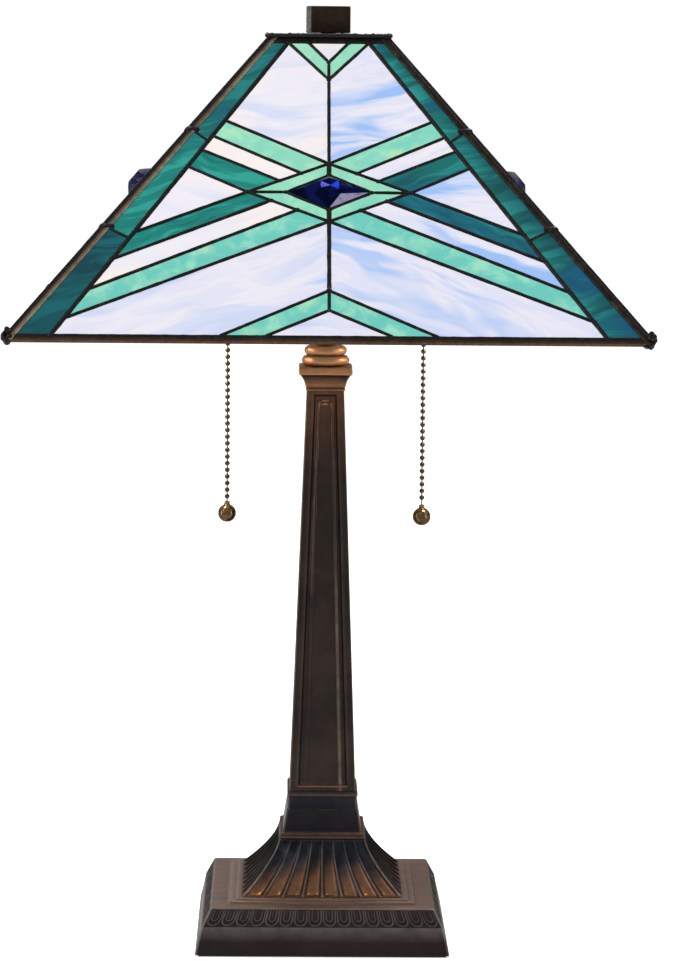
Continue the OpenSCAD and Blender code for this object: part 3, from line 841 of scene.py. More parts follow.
def round_poly(pts, r, n=3):
    """Rounds every corner of a closed polygon."""
    out = []
    m = len(pts)
    for i in range(m):
        a, b, c = (np.array(pts[(i + k) % m], float) for k in (-1, 0, 1))
        u, w = a - b, c - b
        lu, lw = np.linalg.norm(u), np.linalg.norm(w)
        d = min(r, 0.45 * lu, 0.45 * lw)
        p0, p1 = b + u / lu * d, b + w / lw * d
        for k in range(n + 1):
            t = k / n
            out.append(tuple((1 - t) ** 2 * p0 + 2 * t * (1 - t) * b + t * t * p1))
    return out


def hips():
    """A folded brass came over each hip, its seam of solder along the ridge, and a fillet of solder inside."""
    brass, sold = Bag(), Bag()
    for i in range(4):
        m = PANEL[i]
        # painted light and shade: the left wing of each came gets full rubbed edges and painted highlights, the right
        # wing almost none
        for s, edge in ((-1, 1.0), (1, 0.12)):
            steps, K = 90, 10
            verts, faces, wear, dark = [], [], [], []
            for q in range(steps + 1):
                v = RIM_LO + (SLANT - 1.5 - RIM_LO) * q / steps
                inner = 3.95 + 0.12 * noise.noise(Vector((v * 0.04, i * 3.7, 2 + s)))
                lift = 0.10 * noise.noise(Vector((v * 0.05, i * 1.7, 7 + s)))
                for g, w, k in ((0.2, 0.9, 0), (0.2, 2.3, 0.0), (1.0, 2.75, 0.05), (1.9, 2.85, 0.3), (2.8, 2.75, 0.62), (inner - 0.45, 2.55, 0.95),
                                (inner, 2.3, 1.0), (inner, 1.6, 0.4), (inner - 0.6, 1.52, 0), (0.9, 1.0, 0)):
                    verts.append(tuple(m @ Vector((s * hipe(v, g), v, w + (lift if w > 2 else 0)))))
                    wear.append(k * edge * (0.75 + 0.5 * noise.noise(Vector((v * 0.025, i * 5.1, 3)))))
                    # painted shade: the right wing is tinted near black
                    dark.append(0.0 if s < 0 else 0.95)
            for q in range(steps):
                for k in range(K):
                    j = (k + 1) % K
                    faces.append((q * K + k, q * K + j, (q + 1) * K + j, (q + 1) * K + k))
            faces.append(tuple(range(K - 1, -1, -1)))
            faces.append(tuple(steps * K + k for k in range(K)))
            brass.add(verts, faces, wear=wear, copper=dark)
        a, b = (-hipe(2, 0.35), 2), (-hipe(SLANT - 2, 0.35), SLANT - 2)
        solder_bead(sold, m @ Matrix.Translation((0, 0, 0.9)), a, b, 0.85, 70 + i, 1.95, 3.0, 0.25)
        a, b = (hipe(2, 0.55), 2), (hipe(SLANT - 2, 0.55), SLANT - 2)
        solder_bead(sold, m @ Matrix.Translation((0, 0, 0.9)), a, b, 0.95, 80 + i, 2.0, 3.0, 0.25)
        a, b = (hipe(0, 3.2), 0), (hipe(V1, 3.2), V1)
        solder_bead(sold, m @ Matrix.Translation((0, 0, -1.2)), a, b, 2.3, 50 + i, 1.9, 3.0)
        # lumps where the border breaks meet the hips
        for v in (90.3, 171.5):
            for s in (1, -1):
                for k in range(5):
                    g = 0.8 + 0.95 * k
                    r = 2.5 - 0.15 * k + 0.5 * hash01(i, v, k, s)
                    solder_blob(sold, m @ Matrix.Translation((0, 0, 0.75)), (s * hipe(v, g), v + 1.2 * hash01(k, i, s + 4)), r, 2.75, i * 5 + k)
    make("hip_strips", brass.v, brass.f, "shade", BRASS_PATINA, ("hip_cames",), brass.a, smooth=50)
    make("hip_solder", sold.v, sold.f, "shade", SOLDER, (), smooth=60)


hips()


def rim():
    bag = Bag()
    for i in range(4):
        prof = round_poly([(RIM_LO, -RIM_T), (V0, -RIM_T), (V0, RIM_T), (RIM_LO, RIM_T)], 0.45)
        steps = 40
        verts, faces, wear = [], [], []
        K = len(prof)
        for s in range(steps + 1):
            t = -1 + 2 * s / steps
            for v, w in prof:
                q = 0.12 * noise.noise(Vector((t * 9, i * 2.2, w)))
                verts.append(tuple(PANEL[i] @ Vector((t * hipe(v, 0.3), v, w + (q if w > 0 else 0) - (0.1 if w > 1.5 else 0)))))
                wear.append(max(0.0, min(1.0, 0.75 - 0.45 * (w + RIM_T) / (2 * RIM_T) + 0.3 * q)) if v < 2.4 else 0.0)
        for s in range(steps):
            for k in range(K):
                j = (k + 1) % K
                faces.append((s * K + k, (s + 1) * K + k, (s + 1) * K + j, s * K + j))
        faces.append(tuple(range(K)))
        faces.append(tuple(steps * K + k for k in range(K - 1, -1, -1)))
        bag.add(verts, faces, wear=wear)
    make("rim_brass", bag.v, bag.f, "shade", BRASS_RIM, ("rim_channel",), bag.a, smooth=50)


rim()


def corners():
    """Lumps of solder at the four corners of the rim, and small ones at the top corners."""
    bag = Bag()
    lim = CAD_BOUNDS_MM - 0.2
    for i in range(4):
        rot = Matrix.Rotation(math.radians(90 * i), 4, "Z")
        big = 0.7 if i in (1, 2) else 1.0       # neater at the back
        for k in range(46):
            an, el = 2 * math.pi * hash01(i, k), math.pi * (hash01(k, i + 4) - 0.5)
            d = 3.5 * big * (0.5 + 0.5 * hash01(i + 9, k))
            c = Vector((RIM_HALF - 1.9 + d * math.cos(el) * math.cos(an), -(RIM_HALF - 1.9) + d * math.cos(el) * math.sin(an), RIM_Z + 3.4 + 1.35 * d * math.sin(el)))
            r = (0.9 + 1.2 * hash01(k, i, 3)) * (0.4 + 0.6 * big)
            c.x, c.y = min(c.x, lim - r), max(c.y, -lim + r)
            v, f = sphere_data((0, 0, 0), 1, 12, 8)
            bag.add([tuple(rot @ (c + Vector(q) * r * (1 - 0.2 * abs(noise.noise(Vector(q) * 2.1 + Vector((k * 3.3, i * 2.7, 0))))))) for q in v], f)
        for k in range(9):
            c = Vector((TOP_HALF + 2.6 - 2.6 * hash01(i, k, 8), -(TOP_HALF + 2.6 - 2.6 * hash01(k, i, 8)), TOP_Z - 2.2 + 3.4 * hash01(i, k, 9)))
            v, f = sphere_data((0, 0, 0), 1, 10, 7)
            bag.add([tuple(rot @ (c + Vector(q) * (1.7 + 0.7 * hash01(k, i, 11)))) for q in v], f)
    make("corner_lumps", bag.v, bag.f, "shade", SOLDER, ("corner_solder",), smooth=60)


corners()


def top_band():
    bag = Bag()
    for i in range(4):
        prof = round_poly([(V1 + 0.2, -2.5), (SLANT, -2.5), (SLANT, 2.4), (V1 + 0.2, 2.4)], 0.9)
        steps, K = 24, len(prof)
        verts, faces = [], []
        for s in range(steps + 1):
            t = -1 + 2 * s / steps
            for v, w in prof:
                q = 0.35 * noise.noise(Vector((t * 6, i * 4.2, w * 0.2 + v * 0.1)))
                verts.append(tuple(PANEL[i] @ Vector((t * hipe(v, 1.2), v + q * 0.6 - 0.2, w + q - 0.3))))
        for s in range(steps):
            for k in range(K):
                j = (k + 1) % K
                faces.append((s * K + k, (s + 1) * K + k, (s + 1) * K + j, s * K + j))
        faces.append(tuple(range(K)))
        faces.append(tuple(steps * K + k for k in range(K - 1, -1, -1)))
        bag.add(verts, faces)
    make("top_band", bag.v, bag.f, "shade", SOLDER_MATT, ("top_ring",), smooth=60)
    h = cap_hi.x
    bag = Bag()
    for i in range(4):
        m = Matrix.Rotation(math.radians(90 * i), 4, "Z") @ Matrix.Translation((0, -(h - 1.6), cap_lo.z - 0.1)) @ Matrix.Rotation(math.radians(90), 4, "X")
        solder_bead(bag, m, (-(h - 1.8), 0), (h - 1.8, 0), 1.35, 130 + i, 1.45, 2.2)
        for k in range(9):
            x = -h + 6 + (2 * h - 12) * (k + 0.6 * (hash01(i, k, 21) - 0.5)) / 8
            solder_blob(bag, m, (x, 0.1), 1.5 + 0.35 * hash01(k, i, 22), 1.45, k + 9 * i)
    make("plate_solder", bag.v, bag.f, "shade", SOLDER_MATT, (), smooth=60)
    square_loft("top_plate", [(h - 1.2, cap_lo.z), (h - 0.3, cap_lo.z + 0.05), (h - 0.3, cap_lo.z + 0.5), (14.5, cap_hi.z), (13.5, cap_hi.z)],
                "shade", SOLDER_MATT, ("top_cap",), rc=1.5, fr=0.2)


top_band()


# ------------------------------------------------------------------ jewels
def jewels():
    """A long lozenge with a stepped crown and a table whose two painted bright triangles meet like a bow tie."""
    out = inset([(0, EYE_V - GEM_H), (GEM_W, EYE_V), (0, EYE_V + GEM_H), (-GEM_W, EYE_V)], 0.9)
    a, b = out[1][0], out[2][1] - EYE_V
    names = [t[0] for t in JEWEL_TONES]
    girdle = [(a, 0), (a * 0.5, b * 0.5), (0, b), (-a * 0.5, b * 0.5), (-a, 0), (-a * 0.5, -b * 0.5), (0, -b), (a * 0.5, -b * 0.5)]
    crown = [(15.6, 0.2), (9.5, 5.0), (0, 8.6), (-10.4, 4.6), (-16.5, 0.2), (-9.5, -4.8), (0, -8.4), (7.4, -4.7)]
    table = [(6.6, 0.9), (5.9, 4.6), (0.6, 6.0), (-5.1, 3.6), (-5.6, 0.8), (-5.1, -1.5), (0.2, -5.2), (5.9, -2.9)]
    # painted light and shade as tones of the two crown triangles at the girdle, of the pair below the table, and of the
    # table's own triangles
    low = (("navy", "light"), ("deep", "moss"), ("moss", "navy"), ("steel", "deep"), ("navy", "deep"), ("deep", "navy"), ("haze", "navy"), ("haze", "deep"))
    mid = (("deep", "navy"), ("navy", "deep"), ("deep", "navy"), ("navy", "deep"), ("deep", "navy"), ("navy", "navy"), ("deep", "navy"), ("navy", "deep"))
    top = ("blue", "deep", "navy", "violet", "violet", "navy", "deep", "blue")
    verts, faces, facet = [], [], []
    for i in range(4):
        def P(x, y, z):
            return tuple(PANEL[i] @ Vector((x, EYE_V + y, z)))

        base = len(verts)
        verts += [P(x * 0.97, y * 0.97, -1.5) for x, y in girdle]
        verts += [P(x, y, 1.8) for x, y in girdle]
        verts += [P(x, y, 6.4) for x, y in crown]
        verts += [P(x, y, 8.75) for x, y in table]
        verts.append(P(0.9, 1.0, 7.9))
        B, G, C, T, M = base, base + 8, base + 16, base + 24, base + 32

        def F(f, tone):
            # painted shade: on the other three panels the lighter facets are painted dark
            if i != 0:
                tone = {"haze": "deep", "light": "deep", "moss": "navy", "steel": "deep"}.get(tone, tone)
            faces.append(f)
            facet.append((names.index(tone) + 0.5) / len(names))
        F(tuple(B + 7 - k for k in range(8)), "deep")
        for k in range(8):
            j = (k + 1) % 8
            F((B + k, B + j, G + j, G + k), "navy")
            if k in (3, 6):
                F((G + k, G + j, C + (k if k == 3 else j)), low[k][0])
                F((G + j, C + j, C + k) if k == 3 else (G + k, C + j, C + k), low[k][1])
            else:
                F((G + k, G + j, C + k), low[k][0])
                F((G + j, C + j, C + k), low[k][1])
            F((C + k, C + j, T + k), mid[k][0])
            F((C + j, T + j, T + k), mid[k][1])
            F((T + k, T + j, M), top[k])
    make("jewel_stones", verts, faces, "shade", JEWEL, ("glass_jewels",), smooth=0, faceattrs={"facet": facet})


jewels()


# ------------------------------------------------------------------ turned and square pieces of the stand
def stack(rings, closed=False):
    """Joins rings of equal length into a closed surface."""
    n = len(rings[0])
    verts = [p for r in rings for p in r]
    faces = []
    m = len(rings)
    for i in range(m if closed else m - 1):
        a0, b0 = i * n, ((i + 1) % m) * n
        for k in range(n):
            j = (k + 1) % n
            faces.append((a0 + k, a0 + j, b0 + j, b0 + k))
    if not closed:
        faces.append(tuple(range(n - 1, -1, -1)))
        faces.append(tuple((m - 1) * n + k for k in range(n)))
    return verts, faces


def side_ring(h, z, xs, rc, dep=None, nrm=(1, 0)):
    """One square ring: for each side the corner arc, then the points xs (from -1 to 1 of the flat part, or millimetres) moved outward by dep."""
    pts, meta = [], []
    c = min(rc, h * 0.4)
    for i in range(4):
        ca, sa = (1, 0, -1, 0)[i], (0, 1, 0, -1)[i]

        def put(x, out, dz=0.0):
            y = -out
            pts.append((x * ca - y * sa, x * sa + y * ca, z + dz))
        for a in (45, 30, 15):
            t = math.radians(a)
            put(-(h - c + c * math.sin(t)), h - c + c * math.cos(t))
            meta.append((1.0, -h, i))
        for x in xs:
            d = dep(x, i) if dep else 0.0
            put(x, h + d * nrm[0], d * nrm[1])
            meta.append((0.0, x, i))
        for a in (15, 30):
            t = math.radians(a)
            put(h - c + c * math.sin(t), h - c + c * math.cos(t))
            meta.append((1.0, h, i))
    return pts, meta


def square_relief(name, rows, xs_of, depth, body, mat, nodes, rc=0.8, closed=True, wear_and_highlight_of=None, tint_and_painted_light_of=None, painted_shade_of=None, turn=0.0, smooth=35):
    """A square-plan piece with relief. rows: (half, z, turn, relief on) around the section."""
    rings, wear, copper, groove = [], [], [], []
    n = len(rows)
    for k, (h, z, t, on) in enumerate(rows):
        a, b = rows[max(0, k - 1)], rows[min(n - 1, k + 1)]
        dh, dz = b[0] - a[0], b[1] - a[1]
        ln = math.hypot(dh, dz) or 1.0
        nrm = (dz / ln, -dh / ln)
        xs = xs_of(h, z)
        dep = (lambda x, i, h=h, z=z: depth(x, h, z, i)) if on else None
        pts, meta = side_ring(h, z, xs, rc, dep, nrm)
        rings.append(pts)
        for cor, x, i in meta:
            d = depth(x, h, z, i) if on and not cor else 0.0
            w = max(0.0, t) * 0.7 + 0.55 * cor
            if wear_and_highlight_of:
                w += wear_and_highlight_of(x, h, z, d, cor, i)
            wear.append(min(1.0, max(0.0, w)))
            copper.append(tint_and_painted_light_of(x, h, z, d, cor, i) if tint_and_painted_light_of else 0.0)
            groove.append(painted_shade_of(x, h, z, d, cor, i) if painted_shade_of and not cor else 0.0)
    v, f = stack(rings, closed)
    if turn:
        m = Matrix.Rotation(math.radians(turn), 4, "Z")
        v = transform(v, m)
    return make(name, v, f, body, mat, nodes, {"wear": wear, "copper": copper, "groove": groove}, smooth=smooth)


def smoothstep(a, b, x):
    t = max(0.0, min(1.0, (x - a) / (b - a)))
    return t * t * (3 - 2 * t)


def plinth():
    lo, hi = mm_box("base_plinth")
    H, zb, zt = hi.x, lo.z, hi.z
    sec = [(H - 0.05, zb + 0.15), (H - 2.0, 9.8), (H - 4.0, 19.6), (H - 4.35, 19.9), (H - 10.0, 31.1), (H - 10.9, 31.55), (64.6, 31.6), (63.7, 31.8), (63.5, 33.0),
           (59.6, 33.05), (59.1, 33.3), (58.9, 34.2), (55.6, 34.25), (20, 34.2), (6.5, 34.2)]
    prof = fillet([(x, z) for x, z in sec], 0.45, 2)
    rows = []
    for k, (h, z, t) in enumerate(prof):
        band = 19.9 < z < 31.15 and h > 76
        rows.append((h, z, t, band))
        if k + 1 < len(prof) and band and 19.9 < prof[k + 1][1] < 31.3 and abs(prof[k + 1][1] - z) > 3:
            n = 34
            for q in range(1, n):
                f = q / n
                rows.append((h + (prof[k + 1][0] - h) * f, z + (prof[k + 1][1] - z) * f, 0.0, True))
    rows += [(6.5, 28.4, 0, False), (73, 28.6, 0, False), (78.8, 19, 0, False), (82.8, zb + 0.3, 0, False)]
    N = 300
    pitch = 152.0 / 16

    def xs_of(h, z):
        e = h - 1.6
        return [(-1 + 2 * k / (N - 1)) * e for k in range(N)]

    def tongue(x, h, z, i):
        """Relief of the row of tongues: depth, outer outline, inner outline."""
        e = h - 1.6
        u = x / e * 76.0
        k = max(0, min(15, math.floor((u + 76.0) / pitch)))
        du = u + 76.0 - (k + 0.5) * pitch
        y = (31.1 - z) * 1.13                       # down the chamfer
        j = 0.35 * (hash01(k, i, 2) - 0.5)
        cy, r = 7.6 + j, 3.95
        sd = (math.hypot(du, y - cy) if y > cy else abs(du)) - r
        ridge = math.exp(-(sd / 0.34) ** 2) * (0.75 + 0.25 * hash01(k, i, 5))
        cy2, r2 = 6.4 + j, 2.0
        sd2 = (math.hypot(du, y - cy2) if y > cy2 else abs(du)) - r2
        inner = math.exp(-(sd2 / 0.32) ** 2)
        mid = math.exp(-(du / 0.28) ** 2) * smoothstep(7.5, 5.5, y)
        line = math.exp(-((y - 12.35) / 0.32) ** 2)
        edge = smoothstep(0.2, 1.6, e - abs(x)) * smoothstep(0.3, 1.3, y)
        below = smoothstep(12.2, 11.6, y)
        d = -0.30 * smoothstep(1.2, -0.3, sd) + 0.72 * ridge + 0.55 * inner + 0.3 * mid - 0.12
        return (min(0.62, d) * below + 0.10 * line - 0.02) * edge * 0.8, ridge * below * edge, max(inner, 0.6 * mid) * below * edge

    def depth(x, h, z, i):
        return tongue(x, h, z, i)[0]

    def wear_and_highlight_of(x, h, z, d, cor, i):
        if cor or not (19.9 < z < 31.15 and h > 76):
            return -0.25 if z < 19 else 0.0
        _, ridge, inner = tongue(x, h, z, i)
        return 0.42 * ridge + 0.3 * inner

    def tint_and_painted_light_of(x, h, z, d, cor, i):
        # painted light: the plinth's top, the pad and its steps take a lighter warm brown, as light from above falls on
        # them
        return 0.9 * smoothstep(30.9, 31.5, z)

    def painted_shade_of(x, h, z, d, cor, i):
        # painted shade in the sunken ground between the tongues on the chamfer
        return 0.3 * smoothstep(0.05, -0.15, d) * smoothstep(20.2, 21.5, z) * smoothstep(31.0, 30.4, z) if d else 0.0

    square_relief("foot", rows, xs_of, depth, "root", PLINTH, ("base_plinth",), rc=1.3, wear_and_highlight_of=wear_and_highlight_of, tint_and_painted_light_of=tint_and_painted_light_of, painted_shade_of=painted_shade_of)


PLINTH = metal("foot_bronze", "#1f1a1a", "#262020", "#8f8583", metallic=0.5, rough=(0.40, 0.45), copper="#6e574c", scale=12, wear=0.8, grain=0.04)
plinth()


def skirt():
    lo, hi = mm_box("skirt_casting")
    z0, z1, A, B = lo.z, hi.z, hi.x, 30.0
    n = 34
    rows = [(A - 0.3, z0 + 1.25, 0.0, False), (A, z0 + 1.5, 0.5, False)]
    for k in range(n + 1):
        t = k / n
        rows.append((B + (A - 0.15 - B) * (1 - t) ** 1.45, z0 + 1.9 + (z1 - 0.25 - z0 - 1.9) * t, 0.0, True))
    rows += [(B - 0.3, z1, 0.0, False), (22.0, z1, 0, False), (24.0, z1 - 4, 0, False), (31.0, 52, 0, False), (A - 6, z0 + 2.5, 0, False), (A - 5, z0 + 1.25, 0, False)]
    NB, M = 8, 15

    def xs_of(h, z):
        e = h - 0.9
        return [(-1 + 2 * k / (NB * M)) * e for k in range(NB * M + 1)]

    def groove(x, h):
        e = h - 0.9
        f = ((x / e + 1) / 2 * NB) % 1.0
        return f

    def depth(x, h, z, i):
        f = groove(x, h)
        q = abs(2 * f - 1)                 # 0 in the middle of a bay, 1 on the rib
        g = 1 - smoothstep(0.55, 0.94, q) * 0.72 - smoothstep(0.86, 0.97, q) * 0.28
        dish = 0.55 + 0.45 * (1 - q * q)
        D = 0.75 + 1.25 * smoothstep(30, 54, h)
        ends = smoothstep(0.0, 1.6, z - z0 - 1.9) * smoothstep(0.0, 1.2, z1 - z)
        return -D * g * dish * (0.35 + 0.65 * ends)

    def wear_and_highlight_of(x, h, z, d, cor, i):
        q = abs(2 * groove(x, h) - 1)
        return 0.6 * smoothstep(0.88, 0.99, q) * (0.35 + 0.65 * smoothstep(62, 38, z))

    def tint_and_painted_light_of(x, h, z, d, cor, i):
        f = groove(x, h)
        bay = math.floor(((x / (h - 0.9) + 1) / 2) * NB)
        q = abs(2 * f - 1)
        # the lower part of each bay takes a copper colour: partly rubbed copper, partly painted warm light from the
        # bulbs on the upturned flute floors
        top = 43.0 + 9.0 * (hash01(bay, i, 3) - 0.5) + 6.0 * (f - 0.5)
        v = 0.88 * smoothstep(top + 13.0, top - 7.0, z) * (1 - 0.8 * smoothstep(0.5, 0.88, q))
        # painted light: the copper is painted weaker on the left and right sides than on the front and back, and a thin
        # painted highlight runs along the bottom lip
        side = 1.0 if i in (0, 2) else 0.25
        return min(1.0, v * side + (0.25 if z < z0 + 2.0 else 0.0))

    def painted_shade_of(x, h, z, d, cor, i):
        f = groove(x, h)
        q = abs(2 * f - 1)
        # painted shadow beside each rib, darker on one side of it
        return (0.8 if f > 0.5 else 0.45) * math.exp(-((q - 0.76) / 0.12) ** 2)

    square_relief("fluted_skirt", rows, xs_of, depth, "root", SKIRT, ("skirt_casting",), rc=0.5, wear_and_highlight_of=wear_and_highlight_of, tint_and_painted_light_of=tint_and_painted_light_of, painted_shade_of=painted_shade_of, smooth=28)


SKIRT = metal("skirt_bronze", "#15171c", "#272a30", "#8f7f70", metallic=0.75, rough=(0.28, 0.4), copper="#7a5438", scale=50, grain=0.03)
skirt()


def collar():
    lo, hi = mm_box("stepped_collar")
    pts = [(28.9, lo.z + 0.05), (29.5, 69.8), (29.6, 70.5), (29.35, 72.6), (28.6, 73.2), (27.3, 73.3), (26.95, 74.2), (24.6, 88.6), (24.25, 89.35), (23.9, 89.7), (23.7, 97.4), (24.0, 97.8), (24.4, 98.4), (24.4, 100.3), (23.5, hi.z - 0.02)]
    prof = fillet(pts, 0.5, 3)
    rows = [(h, z, t, False) for h, z, t in prof]
    rows += [(6.5, hi.z - 0.02, 0, False), (6.5, lo.z + 0.05, 0, False)]

    def xs_of(h, z):
        e = h - min(1.4, h * 0.4)
        return [(-1 + 2 * k / 12) * e for k in range(13)]

    def tint_and_painted_light_of(x, h, z, d, cor, i):
        # painted highlights: thin warm lines along the edges of the mouldings
        return 0.5 * max(math.exp(-((z - 70.0) / 0.45) ** 2), 0.8 * math.exp(-((z - 73.2) / 0.4) ** 2), 0.6 * math.exp(-((z - 98.1) / 0.45) ** 2))

    square_relief("collar_block", rows, xs_of, lambda *a: 0, "root", COLLAR, ("stepped_collar",), rc=1.4, tint_and_painted_light_of=tint_and_painted_light_of)


COLLAR = metal("collar_bronze", "#16181e", "#232226", "#63544a", metallic=0.75, rough=(0.3, 0.42), copper="#8a6044", scale=30, wear=0.7)
collar()


def column():
    lo, hi = mm_box("column_shaft")
    z0, z1, A, B = lo.z, hi.z, hi.x, 12.8
    r0, r1, R0, R1 = 105.0, 376.0, 16.7, 7.5

    def H(z):
        return A + (B - A) * (z - z0) / (z1 - z0)

    def R(z):
        return R0 + (R1 - R0) * (min(max(z, r0), r1) - r0) / (r1 - r0)

    zs = [z0 + 0.05, 102.6, 103.6, 104.2, 104.6, 104.9, 105.2, 105.5, 105.8, 106.1, 106.5, 107.0, 107.8, 109]
    zs += [109 + (360 - 109) * k / 60 for k in range(1, 61)]
    zs += [360 + 15.0 * k / 44 for k in range(1, 45)]
    zs += [375.2, 375.5, 375.8, 376.1, 376.5, 377.2, z1 - 0.05]
    rows = [(H(z), z, 0.0, z0 + 1 < z < z1 - 1) for z in zs]
    rows += [(6.6, z1 - 0.05, 0, False), (15, z0 + 0.05, 0, False)]
    M = 46

    def xs_of(h, z):
        if h < 12 or (h < 15.1 and z < z0 + 1):
            e = h - min(0.7, h * 0.4)
            return [(-1 + 2 * k / (M + 11)) * e for k in range(M + 12)]
        r, e = R(z), h - 0.7
        side = [e, (e + r) / 2 + 0.2, r + 0.55, r + 0.15, r - 0.1]
        mid = [(-1 + 2 * k / (M + 1)) * (r - 0.35) for k in range(M + 2)]
        return [-x for x in side] + mid + list(reversed(side))

    def depth(x, h, z, i):
        r = R(z)
        a = r - abs(x)                                   # distance in from the recess's side
        b, t = z - r0, r1 - z
        m = min(a, b, t)
        inside = smoothstep(-0.15, 0.3, m)
        if inside <= 0:
            lip = math.exp(-((a + 0.35) / 0.4) ** 2) if 0 < b and t > 0 else 0.0
            return 0.0
        k = 0.42 + 0.58 * r / R0
        e = a / k
        top = max(0.0, 1 - max(0.0, t - 5.2) / 1.2)
        # moulding: a flat, a rounded reed, a quirk and a sunk field
        reed = 0.62 * math.sqrt(max(0.0, 1 - ((e - 4.5) / 1.55) ** 2))
        bead = 0.3 * math.sqrt(max(0.0, 1 - ((e - 1.9) / 0.6) ** 2))
        field = 0.18 * smoothstep(6.2, 6.7, e)
        reach = smoothstep(0.5, 3.6, b) * smoothstep(3.6, 5.8, t)
        d = -1.4 + (reed + bead + field) * reach
        # two small arched ends at the head of the field
        for zc, w, g in ((371.9, 2.9, 0.85), (369.6, 2.1, 0.7)):
            q = ((x + 0.35) / w) ** 2 + ((z - zc + 0.10 * x * x) / 0.95) ** 2
            d += g * math.sqrt(max(0.0, 1 - q))
        return min(0.0, d) * inside

    def wear_and_highlight_of(x, h, z, d, cor, i):
        r = R(z)
        a, b, t = r - abs(x), z - r0, r1 - z
        w = 0.0
        if -1.2 < a < 0.2 and b > 0 and t > 0:
            w = 0.12
        # painted highlight along the recess's bottom lip
        if -0.6 < b < 0.2 and abs(x) < r + 0.3:
            w = 0.8
        # painted highlights: light that runs down the right reed, and a faint pink line at the upper left
        e = a / (0.42 + 0.58 * r / R0)
        if x > 0 and 3.0 < e < 6.0 and t > 6:
            w = max(w, (0.5 * smoothstep(300, 210, z) + 0.12) * (1 - abs(e - 4.5) / 1.6))
        if x < 0 and 2.6 < e < 4.6 and t > 6:
            w = max(w, 0.45 * smoothstep(200, 300, z))
        # painted glints at the arched ends at the head of the field
        if 2 < t < 8 and abs(x) < 4 and -0.95 < d < -0.05:
            w = 0.6
        return w

    def tint_and_painted_light_of(x, h, z, d, cor, i):
        r = R(z)
        # painted warm light from the bulbs, growing towards the top of the column
        up = smoothstep(300, 378, z)
        w = 0.35 * up * up
        # painted glints at the head of the field
        if 366 < z < 374 and abs(x) < 4 and -0.95 < d < -0.05 and cor == 0:
            w = 0.8
        # painted highlight on the recess's bottom lip
        if abs(x) < r and 104.3 < z < 105.25:
            w = max(w, 0.75)
        return w

    def painted_shade_of(x, h, z, d, cor, i):
        r = R(z)
        a, b, t = r - abs(x), z - r0, r1 - z
        if min(a, b, t) < -0.15:
            return 0.0
        e = a / (0.42 + 0.58 * r / R0)
        # painted shade along the recess's edge, in the quirks of the moulding and under its head
        edge = 0.95 * math.exp(-((e - 0.45) / 0.6) ** 2)
        quirk = 0.6 * math.exp(-((e - 2.75) / 0.3) ** 2) + 0.5 * math.exp(-((e - 6.25) / 0.35) ** 2)
        head = 0.95 * math.exp(-((t - 0.8) / 0.8) ** 2)
        return min(0.95, max(edge if b > 0.6 else 0.0, head, quirk * smoothstep(3.6, 6.5, t) * smoothstep(0.5, 3.6, b)))

    square_relief("column_sleeve", rows, xs_of, depth, "root", COLUMN, ("column_shaft",), rc=0.7, wear_and_highlight_of=wear_and_highlight_of, tint_and_painted_light_of=tint_and_painted_light_of, painted_shade_of=painted_shade_of, smooth=30)


COLUMN = metal("column_bronze", "#201c1a", "#302824", "#7f6f60", metallic=0.7, rough=(0.28, 0.4), copper="#8f5f44", scale=18, wear=0.85, grain=0.05)
column()


def capital():
    lo, hi = mm_box("capital")
    pts = [(13.2, lo.z + 0.05), (13.6, 378.8), (13.6, 379.6), (13.3, 380.1), (13.9, 382), (14.7, 385), (15.6, 386.8), (16.7, 388.6), (17.5, 389.4), (18.2, 389.8), (18.4, 390.5), (18.4, 393.9), (18.0, 394.5), (17.5, hi.z - 0.02)]
    rows = [(h, z, t, False) for h, z, t in fillet(pts, 0.5, 3)]
    rows += [(6.5, hi.z - 0.02, 0, False), (6.5, lo.z + 0.05, 0, False)]

    def xs_of(h, z):
        e = h - min(0.8, h * 0.4)
        return [(-1 + 2 * k / 12) * e for k in range(13)]

    def tint_and_painted_light_of(x, h, z, d, cor, i):
        # the abacus and a band of the cavetto take a copper colour: partly the metal's own, partly painted warm light
        # from the bulbs above
        return min(1.0, smoothstep(389.3, 390, z) + 0.35 * math.exp(-((z - 382.5) / 2.0) ** 2))

    def painted_shade_of(x, h, z, d, cor, i):
        # painted shade in the cavetto under the abacus and in the crease at its foot
        return 0.8 * math.exp(-((z - 388.4) / 1.4) ** 2) + 0.5 * math.exp(-((z - 380.2) / 0.5) ** 2)

    square_relief("capital_block", rows, xs_of, lambda *a: 0, "root", CAPITAL, ("capital",), rc=0.9, tint_and_painted_light_of=tint_and_painted_light_of, painted_shade_of=painted_shade_of)


CAPITAL = metal("capital_bronze", "#2a211b", "#4a3324", "#a87a4c", metallic=0.75, rough=(0.3, 0.42), copper="#a0714e", scale=40, grain=0.02)
capital()


